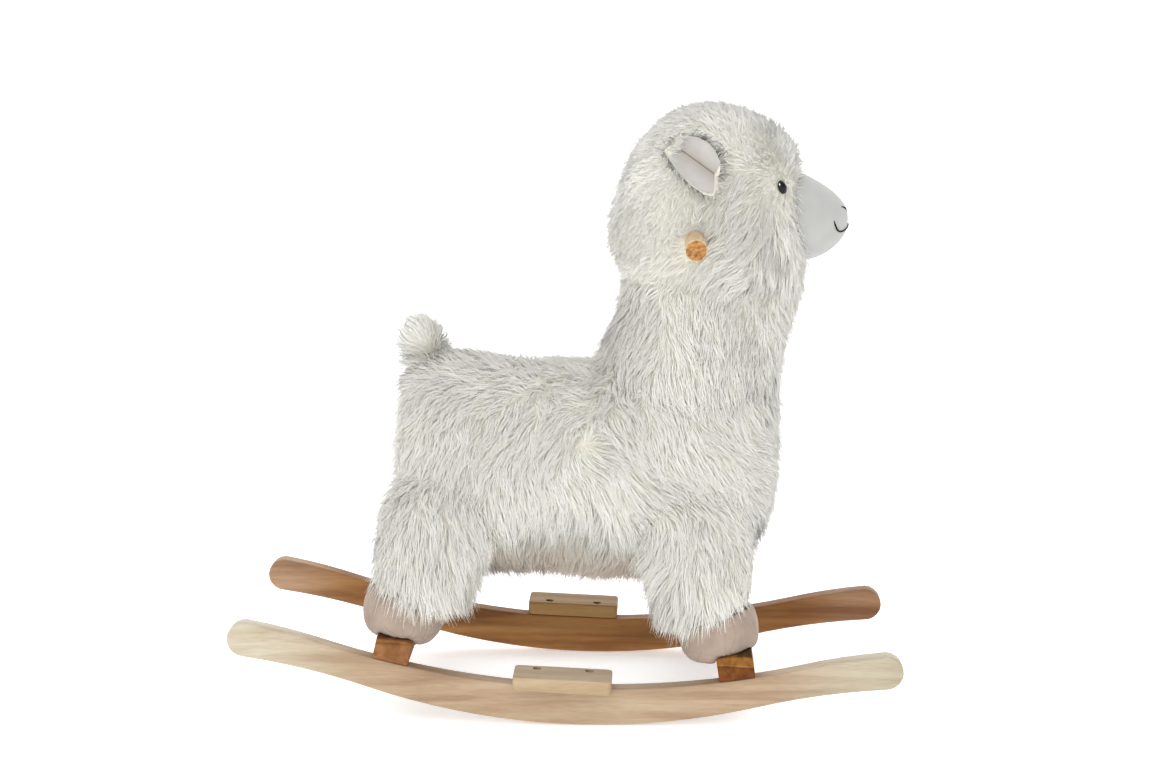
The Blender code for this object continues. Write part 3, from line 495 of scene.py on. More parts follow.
legLie = {"length": 0.027, "lift": 30, "whorl": 0.6}
earLie = {"length": 0.012, "lift": 34, "wish": (1.0, -0.5), "pull": 0.4, "dense": 1.6}
furLie = {
    # lift: degrees off the cover. wish: which way the fur lies, forward and up. whorl: how much it strays.
    # pull and dense: in place of the common pull, and times the common density
    "plush_body": {"length": 0.025, "lift": 21},  # lies as flankWish says
    "plush_neck": {"length": 0.019, "lift": 30, "wish": (-0.1, -1.0)},
    "plush_head": {"length": 0.012, "lift": 44, "wish": (-0.5, -0.6)},
    **{f"rear_{side}_plush_leg": {**legLie, "wish": (0.15, -1.0)} for side in sides},
    **{f"front_{side}_plush_leg": {**legLie, "wish": (-0.1, -1.0)} for side in sides},
    "plush_tail": {
        "length": 0.016, "lift": 10, "wish": (-0.6, 1.0), "whorl": 0.3, "pull": 0.3, "dense": 1.3,
    },
    **{f"{side}_ear": earLie for side in sides},
}
furGrowth = {
    "density": 214000.0,  # strands to the square metre
    "lock": 0.0085,  # least distance between the locks
    "mostLocks": 60000.0,  # to the square metre, before that distance thins them
    "radius": 0.00034,  # of a strand at its root
    "tipRadius": 0.00006,
    "taper": 0.6,  # power by which a strand thins towards its tip
    "pull": 0.6,  # how far a strand's tip is drawn to its lock
    "middlePull": 0.45,  # of that, what its middle is drawn
    "scatter": 0.0028,  # of a tip
    "wholeScatter": 0.018,  # fur of this length and more is scattered in full
    "middleSpread": 0.4,  # of the tip's scatter and stand-off, what the middle gets
    "loose": 0.13,  # share of the strands that keep out of the locks
    "standOff": 0.008,  # most that a loose strand stands off
    "steeper": 0.45,  # radians that a strand leaves the cover more steeply than it goes on
    "swirl": 0.060,  # size of the whorls
    "swirlStrength": 1.0,
    "tousle": 0.016,  # size of the smaller tufts
    "tousleStrength": 0.65,
    "sag": 0.12,
    "softness": 0.96,  # how far a strand is shaded like the cover and not like a tube
    "paintedShadeTone": 0.75,  # most tone that the painted shade adds, reached by the beige-grey under the belly
    "cornerTone": 0.008,  # difference of tone round a strand
}

whorls = {"flank": (-0.024, 0.272), "cheek": (0.222, 0.052, 0.568)}  # level: the parting and the curl
furEdges = {  # start and width of each change in the fur: level heights, unless a note says otherwise
    "aheadOfParting": (-0.02, 0.08),  # x from the flank's parting
    "back": (0.29, 0.04),
    "neckFoot": (0.43, -0.06),
    "neck": (0.43, 0.05),
    "face": (-0.25, 0.5),  # of the normal's x
    "cheek": (0.115, 0.045),  # x
    "brow": (0.605, -0.03),
    "legTop": (0.15, 0.06),
    "hock": (0.11, 0.05),
    "belly": (-0.15, -0.4),  # of the normal's z, where the painted shade under the belly grows
}
clearings = {  # no fur within the first distance, fur of a length up to the second, and a gain past that
    "handle": (0.0118, 0.0118, 0.010, 0.8),
    "eye": (0.0068, 0.0068, 0.004, 0.6),
    "muzzle": (0.0, 0.0, 0.009, 0.5),
    "ear": (0.0, 0.003, 0.006, 0.6),
    "tail": (0.002, 0.0, 0.018, 0.6),
}
# No fur where its roots are deeper than this under a piece, and yet not near that piece's far side
buried = {"muzzle": 0.0015, "hooves": 0.004, "farSide": 0.03}


def keepLargest(data):
    left = set(data.verts)
    islands = []
    while left:
        edge = [left.pop()]
        island = set(edge)
        while edge:
            near = {e.other_vert(v) for v in edge for e in v.link_edges} - island
            island |= near
            edge = list(near)
        left -= island
        islands.append(island)
    largest = max(islands, key=len)
    bmesh.ops.delete(data, geom=[v for v in data.verts if v not in largest], context="VERTS")


def remeshed(data, voxel):
    # One even closed skin round a mesh, without the cavities inside
    thing = addObject("work", meshOf(data, "work"))
    modifier = thing.modifiers.new("skin", "REMESH")
    modifier.mode = "VOXEL"
    modifier.voxel_size = voxel
    mesh = applied(thing).data
    bpy.data.objects.remove(thing)
    data = bmesh.new()
    data.from_mesh(mesh)
    keepLargest(data)
    return data


def addPlug(data):
    # Closes the handle's tunnel to just under the cover on each side
    bmesh.ops.create_cone(
        data,
        cap_ends=True,
        segments=handle["plugSides"],
        radius1=handle["plugRadius"],
        radius2=handle["plugRadius"],
        depth=2 * handle["plugReach"],
        matrix=fromLevel @ Matrix.Translation(handle["place"]) @ Matrix.Rotation(math.pi / 2, 4, "X"),
    )


def makeCover():
    data = joinedNodes([*cover["panels"], *cover["stuffing"]])
    addPlug(data)
    skin = remeshed(data, cover["voxel"])
    smoothed(skin, cover["smoothing"])
    skin.normal_update()
    solids = surfaceOf(cover["panels"])
    for vertex in skin.verts:
        spot, normal, _, distance = solids.find_nearest(vertex.co)
        if (vertex.co - spot).dot(normal) > 0 and distance > cover["fillet"]:
            vertex.co = vertex.co.lerp(spot, cover["drawnBack"] * (1 - cover["fillet"] / distance))
        lump = noise.noise(vertex.co / cover["lumpSize"]) * cover["lumpHeight"]
        vertex.co += vertex.normal * lump
    skin.normal_update()
    return skin


# The lower lobe of an ear hangs past an even leaf, and the lining goes a little over the rim
earDrop = {"down": 0.006, "forward": 0.026, "up": 0.004, "along": 0.003, "wider": 1.1}


def earFrame(side):
    # Middle and axes of an ear's lining: along it to the tip, across it upwards, and the half sizes
    spots = np.array([vertex.co for vertex in nodes[f"{side}_ear_lining"].data.vertices])
    middle = (spots.max(0) + spots.min(0)) / 2
    axes = np.linalg.svd(spots - spots.mean(0), full_matrices=False)[2]
    along = axes[0] * np.sign(axes[0][0])
    across = axes[1] * np.sign(axes[1][2])
    reach = [np.abs((spots - middle) @ axis).max() for axis in (along, across)]
    return Vector(middle), Vector(along), Vector(across), reach


def shapeEar(data, side, grow=1.0):
    # Lets the lower lobe of an ear hang. Returns how far each vertex is from the fold
    middle, along, across, reach = earFrame(side)
    folds = []
    for vertex in data.verts:
        offset = vertex.co - middle
        vertex.co += across * (offset.dot(across) * (grow - 1) + earDrop["up"])
        vertex.co += along * (offset.dot(along) * (grow - 1) + earDrop["along"])
        share = max(0.0, min(1.0, (offset.dot(along) / reach[0] + 1) / 2))
        low = max(0.0, -offset.dot(across) / reach[1])
        folds.append(abs(offset.dot(across)))
        down = across * (-earDrop["down"] * share**2 * low)
        vertex.co += down + along * (earDrop["forward"] * share * low)
    return folds


def earTree(kind, grow=1.0):
    data = bmesh.new()
    for side in sides:
        one = joinedNodes([f"{side}_{kind}"])
        shapeEar(one, side, grow)
        mesh = meshOf(one, "ear")
        data.from_mesh(mesh)
        bpy.data.meshes.remove(mesh)
    tree = BVHTree.FromBMesh(data)
    data.free()
    return tree


def earOutward(side):
    # Away from the head, so that the fur of the rim closes over the lining's edge
    _, along, across, _ = earFrame(side)
    outward = along.cross(across)
    return outward * math.copysign(1, outward.y * (-1 if side == "right" else 1))


trees = {
    "linings": earTree("ear_lining", earDrop["wider"]),
    "hooves": surfaceOf([f"{corner}_hoof" for corner in corners]),
    "ears": earTree("ear"),
    "tail": surfaceOf(["plush_tail"]),
}
eyeMiddles = [middleOf(f"{side}_eye") for side in sides]
earFacing = {f"{side}_ear": earOutward(side) for side in sides}
legAxis = {name: (toLevel @ middleOf(name)).x for name in legNames}
tailRoot = Vector((-0.163, 0, 0.358))  # level
tailReach = {"rump": 0.050, "stem": 0.035}  # how far the root's fur goes, round it and up the tail


def isBuried(place, thing):
    spot, normal, _, distance = trees[thing].find_nearest(place)
    return (place - spot).dot(normal) < 0 and buried[thing] < distance < buried["farSide"]


def clearOf(thing, distance):
    bare, shortTo, length, gain = clearings[thing]
    return 0.0 if distance < bare else length + gain * max(0.0, distance - shortTo)


def limits(place, name):
    # Longest fur that a place may have: short round the eyes, the muzzle, the ears and the handle
    level = toLevel @ place
    most = [clearOf("muzzle", trees["muzzle"].find_nearest(place)[3])]
    most += [clearOf("eye", (eye - place).length) for eye in eyeMiddles]
    if abs(level.y) > handle["outer"]:
        spoke = math.hypot(level.x - handle["place"][0], level.z - handle["place"][2])
        most.append(clearOf("handle", spoke))
    if name == "plush_head":
        most.append(clearOf("ear", trees["ears"].find_nearest(place)[3]))
    if name == "plush_body":
        most.append(clearOf("tail", trees["tail"].find_nearest(place)[3]))
    if isBuried(place, "muzzle") or ("leg" in name and isBuried(place, "hooves")):
        return 0.0
    return min(1.0, *most)


def tailShare(level):
    # 1 at the tail's root, and 0 past its reach
    return max(0.0, 1 - (level - tailRoot).length / tailReach["rump"])


def cheekShare(level):
    # 1 over the cheek and the jaw, where the fur is long, and 0 over the crown and the nape
    return past(level.x, furEdges["cheek"]) * past(level.z, furEdges["brow"])


def flankWish(level):
    # On the flank the hair hangs behind the parting and runs forward from it, most of all level with it
    x, z = level.x - whorls["flank"][0], level.z - whorls["flank"][1]
    ahead = past(x, furEdges["aheadOfParting"]) * max(0.0, 1 - abs(z) / 0.085)
    return Vector((-0.05, 0, -1.0)).lerp(Vector((1.0, 0, -0.35 + 4 * z)), ahead)


def wishAt(level, normal, name):
    # Which way the fur lies at a level place, before the small whorls
    if name == "plush_body":
        back = Vector((-0.7 * max(0.0, normal.z), 0, 0))
        return (flankWish(level) + back).lerp(Vector((-0.35, -level.y * 10, 1.0)), tailShare(level))
    forward, up = furLie[name]["wish"]
    wish = Vector((forward, 0, up))
    if name == "plush_neck":
        wish = wish.lerp(flankWish(level), past(level.z, furEdges["neckFoot"]))
    if name == "plush_head":
        middle = whorls["cheek"]
        spoke = level - Vector((middle[0], math.copysign(middle[1], level.y), middle[2]))
        wish = wish.lerp(Vector((-1.0, 0, 0.5)), past(normal.x, furEdges["face"]))
        wish = wish.lerp(spoke.normalized() + Vector((0, 0, -0.45)), cheekShare(level))
    if "leg" in name:
        wish.x += (level.x - legAxis[name]) / 0.05 * 0.3
        wish = wish.lerp(flankWish(level), past(level.z, furEdges["legTop"]))
    if name.endswith("_ear"):
        wish += earFacing[name] * 0.9
    return wish


def furAt(place, normal, name):
    # Offsets from the root of a strand to its middle and its tip, and the length
    level = toLevel @ place
    whorl = noise.noise_vector(place / furGrowth["swirl"]) * furGrowth["swirlStrength"]
    upper = past(level.z, furEdges["back"]) if name == "plush_body" else 0.0
    tousle = noise.noise_vector(place / furGrowth["tousle"]) * furGrowth["tousleStrength"]
    whorl += tousle * (1 + 0.5 * upper)
    wish = wishAt(level, normal, name).normalized() + whorl * furLie[name].get("whorl", 1.0)
    wish -= normal * wish.dot(normal)
    wish.normalize()
    under = max(0.0, -normal.z - 0.3) / 0.7  # 1 where the cover faces down
    rearward, forward, upward = max(0.0, -normal.x), max(0.0, normal.x), max(0.0, normal.z)
    lift = furLie[name]["lift"] + 25 * under
    length = furLie[name]["length"] * (1 - 0.6 * under) * (1 + 0.25 * noise.noise(place / 0.035))
    if name == "plush_body":
        near = tailShare(level) * min(1.0, max(0.0, 0.1 + 1.5 * normal.z))  # above the tail's root
        seat = max(0.0, 1 - abs(level.x + 0.045) / 0.065)  # 1 in the middle of the saddle
        length *= 1 - (0.3 + 0.55 * seat) * max(0.0, normal.z - 0.5)  # the saddle is sat short
        length *= 1 - 0.5 * rearward - 0.4 * forward  # rump and chest are trimmer than the flank
        length *= 1 - 0.5 * tailShare(level) * rearward  # and most of all under the tail
        length = max(length, 0.029 * min(1.0, 2 * near))  # a ruff stands round the tail
        lift += 30 * near + 16 * upward * (1 - seat) - 11 * rearward - 14 * forward
    elif name == "plush_head":
        share = cheekShare(level)
        length = length * (1 - 0.2 * rearward) + 0.015 * share * (1 - 0.25 * forward)
        lift -= 24 * share + 40 * rearward * max(0.0, normal.z + 0.1)  # flat on the nape
    elif name == "plush_neck":
        low, high = past(level.z, furEdges["neckFoot"]), past(level.z, furEdges["neck"])
        length = (length + 0.006 * low) * (1 - 0.35 * high * rearward) * (1 - 0.4 * forward)
        lift -= (6 + 14 * forward) * low
    elif name == "plush_tail":
        root = 1 - past(level.z, (tailRoot.z, tailReach["stem"]))
        length += 0.008 * root + (1 - root) * (0.008 * upward - 0.005)  # long at the root and the tip
        lift += 44 * root + 34 * upward
    elif "front" in name:
        length *= 1 - 0.7 * forward  # short and flat down the front
        lift -= 20 * forward
    elif "rear" in name:
        high = past(level.z, furEdges["hock"])
        length *= 1 - 0.4 * rearward * high
        lift -= 15 * rearward * high
    elif trees["linings"].ray_cast(place - normal * 0.0005, normal, 0.005)[0]:
        length = 0.0  # on an ear, under its lining
    length = min(length, limits(place, name))
    lift = math.radians(lift)
    steep = lift + furGrowth["steeper"]
    middle = (normal * math.sin(steep) + wish * math.cos(steep)) * length * 0.5
    tip = (normal * math.sin(lift) + wish * math.cos(lift)) * length
    tip.z -= length * furGrowth["sag"]
    return middle, tip, length


def paintedShadeAt(level, normal, name):
    # Painted shade on the pile: from white (0) by pale grey (on the upward faces of the crown, and on the
    # ears) to beige-grey (1, on the faces under the belly)
    if name == "plush_head":
        return 0.2 * max(0.0, normal.z) * (1 - cheekShare(level))
    if name == "plush_body":
        return past(normal.z, furEdges["belly"])
    return 0.3 if name.endswith("_ear") else 0.0


def storeFur(mesh, names):
    # Writes the fur's lie and its painted shade on each vertex. names: the panel of each vertex, or None
    # where no fur grows
    count = len(mesh.vertices)
    vectors = {key: np.zeros((count, 3), np.float32) for key in ("furNormal", "furMiddle", "furTip")}
    numbers = {key: np.zeros(count, np.float32) for key in ("furGrows", "furPaintedShade")}
    for index, (vertex, name) in enumerate(zip(mesh.vertices, names)):
        if name is None:
            continue
        middle, tip, length = furAt(vertex.co, vertex.normal, name)
        vectors["furNormal"][index] = vertex.normal
        vectors["furMiddle"][index] = middle
        vectors["furTip"][index] = tip
        numbers["furGrows"][index] = min(1.0, length / 0.004)
        numbers["furPaintedShade"][index] = paintedShadeAt(toLevel @ vertex.co, vertex.normal, name)
    for key, array in vectors.items():
        mesh.attributes.new(key, "FLOAT_VECTOR", "POINT").data.foreach_set("vector", array.ravel())
    for key, array in numbers.items():
        mesh.attributes.new(key, "FLOAT", "POINT").data.foreach_set("value", array)


furInputs = {
    "Geometry": "Geometry", "Strand Density": "Float", "Lock Distance": "Float", "Strand Radius": "Float",
    "Lock Pull": "Float", "Tip Scatter": "Float", "Seed": "Int", "Pile": "Material",
}
furRead = {  # attributes that the tree reads
    "FLOAT": ("furGrows", "furPaintedShade", "toneLock", "strandTone", "strandCorner", "strandAlong"),
    "BOOLEAN": ("outerFace",),
    "FLOAT_VECTOR": (
        "furNormal", "furMiddle", "furTip", "furMiddleLock", "furTipLock",
        "furRootPlace", "furMiddlePlace", "furTipPlace",
    ),
}
furDraws = {  # seed, least and most of each random number
    "turn": (11, -0.6, 0.6),  # of a lock about the normal, in radians
    "size": (12, 0.8, 1.2),  # of a lock
    "tone": (13, 0.0, 0.17),  # of a lock
    "stray": (21, 0.55, 1.1),  # share of the pull that a strand follows
    "own": (22, 0.7, 1.08),  # length of a strand
    "ownTone": (24, 0.0, 0.06),
}


def addLocks(tree, given, read, drawn):
    # A sparse set of points, each with its own turn, length and tone
    locks = addNode(
        tree,
        "GeometryNodeDistributePointsOnFaces",
        {"distribute_method": "POISSON"},
        {
            "Mesh": given["Geometry"],
            "Selection": read["outerFace"],
            "Distance Min": given["Lock Distance"],
            "Density Max": furGrowth["mostLocks"],
            "Density Factor": read["furGrows"],
            "Seed": given["Seed"],
        },
    ).outputs["Points"]
    kept = {"toneLock": ("FLOAT", drawn["tone"])}
    for key in ("furMiddle", "furTip"):
        turned = addNode(
            tree,
            "ShaderNodeVectorRotate",
            {"rotation_type": "AXIS_ANGLE"},
            {"Vector": read[key], "Axis": read["furNormal"], "Angle": drawn["turn"]},
        ).outputs[0]
        sized = addNode(tree, "ShaderNodeVectorMath", scaleVector, {0: turned, "Scale": drawn["size"]})
        kept[f"{key}Lock"] = ("FLOAT_VECTOR", sized.outputs[0])
    for name, (kind, value) in kept.items():
        locks = addNode(
            tree,
            "GeometryNodeStoreNamedAttribute",
            {"data_type": kind, "domain": "POINT"},
            {"Geometry": locks, "Name": name, "Value": value},
        ).outputs["Geometry"]
    return locks


def addStrands(tree, given, read, drawn, locks):
    # A point for each strand, with its own path, mixed with the path of the nearest lock
    density = {0: given["Strand Density"], 1: read["furGrows"]}
    densityAt = addNode(tree, "ShaderNodeMath", multiply, density).outputs[0]
    seed = addNode(tree, "ShaderNodeMath", {"operation": "ADD"}, {0: given["Seed"], 1: 100.0}).outputs[0]
    strands = addNode(
        tree,
        "GeometryNodeDistributePointsOnFaces",
        {"distribute_method": "RANDOM"},
        {"Mesh": given["Geometry"], "Selection": read["outerFace"], "Density": densityAt, "Seed": seed},
    ).outputs["Points"]
    root = addNode(tree, "GeometryNodeInputPosition").outputs[0]
    nearest = addNode(
        tree, "GeometryNodeSampleNearest", {"domain": "POINT"}, {"Geometry": locks, "Sample Position": root}
    ).outputs["Index"]
    ofLock = {
        name: addNode(
            tree,
            "GeometryNodeSampleIndex",
            {"data_type": kind, "domain": "POINT"},
            {"Geometry": locks, "Value": value, "Index": nearest},
        ).outputs["Value"]
        for name, kind, value in (
            ("root", "FLOAT_VECTOR", root),
            ("furMiddle", "FLOAT_VECTOR", read["furMiddleLock"]),
            ("furTip", "FLOAT_VECTOR", read["furTipLock"]),
            ("tone", "FLOAT", read["toneLock"]),
        )
    }
    # Loose strands keep out of the locks and stand off
    odds = {"Probability": furGrowth["loose"], "Seed": 25}
    loose = addNode(tree, "FunctionNodeRandomValue", {"data_type": "BOOLEAN"}, odds).outputs[3]
    held = addNode(tree, "ShaderNodeMath", subtract, {0: 1.0, 1: loose}).outputs[0]
    pullAll = addNode(
        tree, "ShaderNodeMath", {**multiply, "use_clamp": True}, {0: given["Lock Pull"], 1: drawn["stray"]}
    ).outputs[0]
    middlePull = {0: pullAll, 1: furGrowth["middlePull"]}
    pullMiddle = addNode(tree, "ShaderNodeMath", multiply, middlePull).outputs[0]
    pullTip = addNode(tree, "ShaderNodeMath", multiply, {0: pullAll, 1: held}).outputs[0]
    length = addNode(
        tree, "ShaderNodeVectorMath", {"operation": "LENGTH"}, {0: read["furTip"]}
    ).outputs["Value"]
    # Short fur is scattered less
    lengths = {0: length, 1: 0.0, 2: furGrowth["wholeScatter"], 3: 0.1, 4: 1.0}
    shortness = addNode(tree, "ShaderNodeMapRange", inputs=lengths)
    reaches = {0: given["Tip Scatter"], 1: shortness.outputs[0]}
    scatterReach = addNode(tree, "ShaderNodeMath", multiply, reaches).outputs[0]
    most = {0: length, 1: furGrowth["standOff"]}
    standOff = addNode(tree, "ShaderNodeMath", {"operation": "MINIMUM"}, most).outputs[0]
    standOff = addNode(tree, "ShaderNodeMath", multiply, {0: standOff, 1: loose}).outputs[0]
    outward = addNode(
        tree, "ShaderNodeVectorMath", scaleVector, {0: read["furNormal"], "Scale": standOff}
    ).outputs[0]
    cube = {0: (-1.0,) * 3, 1: (1.0,) * 3, "Seed": 23}
    scatter = addNode(tree, "FunctionNodeRandomValue", {"data_type": "FLOAT_VECTOR"}, cube).outputs[0]
    kept = {}
    spreads = {"furMiddle": (pullMiddle, furGrowth["middleSpread"]), "furTip": (pullTip, 1.0)}
    for key, (pull, spread) in spreads.items():
        places = {}
        for whose, offset, start in (("own", read[key], root), ("lock", ofLock[key], ofLock["root"])):
            reached = {0: offset, 1: drawn["own"], 2: start}
            places[whose] = addNode(tree, "ShaderNodeVectorMath", multiplyAdd, reached).outputs[0]
        mixing = {0: pull, 4: places["own"], 5: places["lock"]}
        mixed = addNode(tree, "ShaderNodeMix", mixVectors, mixing).outputs[1]
        reach = addNode(tree, "ShaderNodeMath", multiply, {0: scatterReach, 1: spread}).outputs[0]
        lifting = {0: outward, 1: (0.85 * spread,) * 3, 2: mixed}
        lifted = addNode(tree, "ShaderNodeVectorMath", multiplyAdd, lifting).outputs[0]
        throwing = {0: scatter, 1: reach, 2: lifted}
        thrown = addNode(tree, "ShaderNodeVectorMath", multiplyAdd, throwing).outputs[0]
        kept[f"{key}Place"] = ("FLOAT_VECTOR", thrown)
    tone = addNode(tree, "ShaderNodeMath", {"operation": "ADD"}, {0: ofLock["tone"], 1: drawn["ownTone"]})
    # The painted shade of the crown, the ears and the belly is added to the strand's tone
    shaded = {0: read["furPaintedShade"], 1: furGrowth["paintedShadeTone"], 2: tone.outputs[0]}
    kept["furRootPlace"] = ("FLOAT_VECTOR", root)
    kept["strandTone"] = ("FLOAT", addNode(tree, "ShaderNodeMath", multiplyAdd, shaded).outputs[0])
    for name, (kind, value) in kept.items():
        strands = addNode(
            tree,
            "GeometryNodeStoreNamedAttribute",
            {"data_type": kind, "domain": "POINT"},
            {"Geometry": strands, "Name": name, "Value": value},
        ).outputs["Geometry"]
    return strands


def addTubes(tree, given, read, strands):
    # Each point becomes a bent, tapered, three-sided strand
    line = addNode(tree, "GeometryNodeCurvePrimitiveLine").outputs["Curve"]
    line = addNode(tree, "GeometryNodeResampleCurve", inputs={"Curve": line, "Count": 3}).outputs["Curve"]
    grown = addNode(tree, "GeometryNodeInstanceOnPoints", inputs={"Points": strands, "Instance": line})
    curves = addNode(tree, "GeometryNodeRealizeInstances", inputs={"Geometry": grown.outputs["Instances"]})
    along = addNode(tree, "GeometryNodeSplineParameter").outputs["Factor"]
    lower, upper = (
        addNode(
            tree, "ShaderNodeMix", mixVectors, {0: along, 4: read[f"{one}Place"], 5: read[f"{two}Place"]}
        ).outputs[1]
        for one, two in (("furRoot", "furMiddle"), ("furMiddle", "furTip"))
    )
    bent = addNode(tree, "ShaderNodeMix", mixVectors, {0: along, 4: lower, 5: upper}).outputs[1]
    placed = {"Geometry": curves.outputs["Geometry"], "Position": bent}
    curves = addNode(tree, "GeometryNodeSetPosition", inputs=placed).outputs["Geometry"]
    circle = {"Resolution": 3, "Radius": 1.0}
    profile = addNode(tree, "GeometryNodeCurvePrimitiveCircle", {"mode": "RADIUS"}, circle).outputs["Curve"]
    corner = addNode(tree, "GeometryNodeInputIndex").outputs[0]
    curves, profile = (
        addNode(
            tree,
            "GeometryNodeStoreNamedAttribute",
            {"data_type": "FLOAT", "domain": "POINT"},
            {"Geometry": geometry, "Name": name, "Value": value},
        ).outputs["Geometry"]
        for geometry, name, value in ((curves, "strandAlong", along), (profile, "strandCorner", corner))
    )
    left = addNode(tree, "ShaderNodeMath", subtract, {0: 1.0, 1: along}).outputs[0]
    taper = addNode(tree, "ShaderNodeMath", {"operation": "POWER"}, {0: left, 1: furGrowth["taper"]})
    thickness = {0: taper.outputs[0], 1: given["Strand Radius"], 2: furGrowth["tipRadius"]}
    thick = addNode(tree, "ShaderNodeMath", multiplyAdd, thickness).outputs[0]
    tube = {"Curve": curves, "Profile Curve": profile, "Scale": thick, "Fill Caps": True}
    mesh = addNode(tree, "GeometryNodeCurveToMesh", inputs=tube).outputs["Mesh"]
    mesh = addNode(tree, "GeometryNodeSetShadeSmooth", inputs={"Geometry": mesh}).outputs["Geometry"]
    # The fine fibres of a strand scatter light, so it is shaded more like the cover than like a tube
    ownNormal = addNode(tree, "GeometryNodeInputNormal").outputs["Normal"]
    softening = {0: furGrowth["softness"], 4: ownNormal, 5: read["furNormal"]}
    soft = addNode(tree, "ShaderNodeMix", mixVectors, softening).outputs[1]
    unit = addNode(tree, "ShaderNodeVectorMath", {"operation": "NORMALIZE"}, {0: soft}).outputs[0]
    free = {"mode": "FREE", "domain": "POINT"}
    shaded = {"Mesh": mesh, "Custom Normal": unit}
    return addNode(tree, "GeometryNodeSetMeshNormal", free, shaded).outputs["Mesh"]


def makeFurTree():
    # Scatters strands on the outer faces of a cover, and draws their tips together into locks
    tree = bpy.data.node_groups.new("furStrands", "GeometryNodeTree")
    for name, kind in furInputs.items():
        tree.interface.new_socket(name, in_out="INPUT", socket_type=f"NodeSocket{kind}")
    tree.interface.new_socket("Geometry", in_out="OUTPUT", socket_type="NodeSocketGeometry")
    given = addNode(tree, "NodeGroupInput").outputs
    read = {}
    for kind, names in furRead.items():
        for name in names:
            reader = addNode(tree, "GeometryNodeInputNamedAttribute", {"data_type": kind}, {"Name": name})
            read[name] = reader.outputs["Attribute"]
    drawn = {
        name: addNode(
            tree, "FunctionNodeRandomValue", {"data_type": "FLOAT"}, {2: least, 3: most, "Seed": seed}
        ).outputs[1]
        for name, (seed, least, most) in furDraws.items()
    }
    locks = addLocks(tree, given, read, drawn)
    strands = addStrands(tree, given, read, drawn, locks)
    mesh = addTubes(tree, given, read, strands)
    both = addNode(tree, "GeometryNodeJoinGeometry")
    tree.links.new(mesh, both.inputs[0])
    tree.links.new(given["Geometry"], both.inputs[0])
    # The map that the pile's colour is read from: tone across, root to tip upwards
    across = {0: read["strandCorner"], 1: furGrowth["cornerTone"], 2: read["strandTone"]}
    mapAcross = addNode(tree, "ShaderNodeMath", multiplyAdd, across).outputs[0]
    mapPlace = addNode(tree, "ShaderNodeCombineXYZ", inputs={"X": mapAcross, "Y": read["strandAlong"]})
    mapped = addNode(
        tree,
        "GeometryNodeStoreNamedAttribute",
        {"data_type": "FLOAT2", "domain": "CORNER"},
        {"Geometry": both.outputs[0], "Name": "OFBake", "Value": mapPlace.outputs[0]},
    )
    real = addNode(tree, "GeometryNodeRealizeInstances", inputs={"Geometry": mapped.outputs["Geometry"]})
    made = {"Geometry": real.outputs["Geometry"], "Material": given["Pile"]}
    done = addNode(tree, "GeometryNodeSetMaterial", inputs=made)
    addNode(tree, "NodeGroupOutput", inputs={"Geometry": done.outputs["Geometry"]})
    return tree


furTree = makeFurTree()


def growFur(thing, seed, look):
    values = {
        "Strand Density": furGrowth["density"] * look.get("dense", 1.0),
        "Lock Distance": furGrowth["lock"],
        "Strand Radius": furGrowth["radius"],
        "Lock Pull": look.get("pull", furGrowth["pull"]),
        "Tip Scatter": furGrowth["scatter"],
        "Seed": seed,
        "Pile": materials["acrylicPlushPile"],
    }
    modifier = thing.modifiers.new("fur", "NODES")
    modifier.node_group = furTree
    for item in furTree.interface.items_tree:
        if item.in_out == "INPUT" and item.name in values:
            modifier[item.identifier] = values[item.name]
    mesh = applied(thing).data
    for attribute in [a.name for a in mesh.attributes if a.name.startswith(("fur", "strand", "outer"))]:
        mesh.attributes.remove(mesh.attributes[attribute])
    return thing


def markOuter(mesh, count):
    # The first faces of a mesh are the ones that fur may grow on
    outer = np.zeros(len(mesh.polygons), bool)
    outer[:count] = True
    mesh.attributes.new("outerFace", "BOOLEAN", "FACE").data.foreach_set("value", outer)


def thickened(mesh, thickness):
    # Gives a panel its backing, inwards, and marks the faces that were its own
    thing = addObject("work", mesh)
    count = len(mesh.polygons)
    modifier = thing.modifiers.new("backing", "SOLIDIFY")
    modifier.thickness = thickness
    modifier.offset = -1.0
    modifier.use_even_offset = False
    mesh = applied(thing).data
    bpy.data.objects.remove(thing)
    markOuter(mesh, count)
    return mesh


muzzle = {  # level. Rings along X: x, height of the middle, half height, half width
    "rings": (
        (0.222, 0.5335, 0.0470, 0.0480),
        (0.238, 0.5295, 0.0437, 0.0440),
        (0.248, 0.5285, 0.0395, 0.0395),
        (0.258, 0.5283, 0.0337, 0.0345),
        (0.2675, 0.5287, 0.0255, 0.0275),
        (0.2745, 0.5292, 0.0168, 0.0185),
        (0.2775, 0.5296, 0.0078, 0.0088),
    ),
    "points": 40,
    "seat": (0.76, 0.5, 0.25),  # rings on the head, as shares of the first
    "proud": 0.0006,
    "mouth": ((0.0318, 0.5320), (0.0308, 0.5268), (0.0262, 0.5208), (0.0130, 0.5222), (0.0, 0.5262)),  # y, z
    "nostril": ((0.0060, 0.5400), (0.0115, 0.5437), (0.0180, 0.5458)),
    "thread": 0.0010,  # radius
    "sunk": 0.0004,  # how far the thread dips at its ends, and stands out between them
}


def onSurface(tree, y, z, proud):
    # The point of a surface that is seen from the front at a level y and z
    start = fromLevel @ Vector((0.4, y, z))
    hit, normal, _, _ = tree.ray_cast(start, fromLevel.to_3x3() @ Vector((-1, 0, 0)))
    return hit + normal * proud


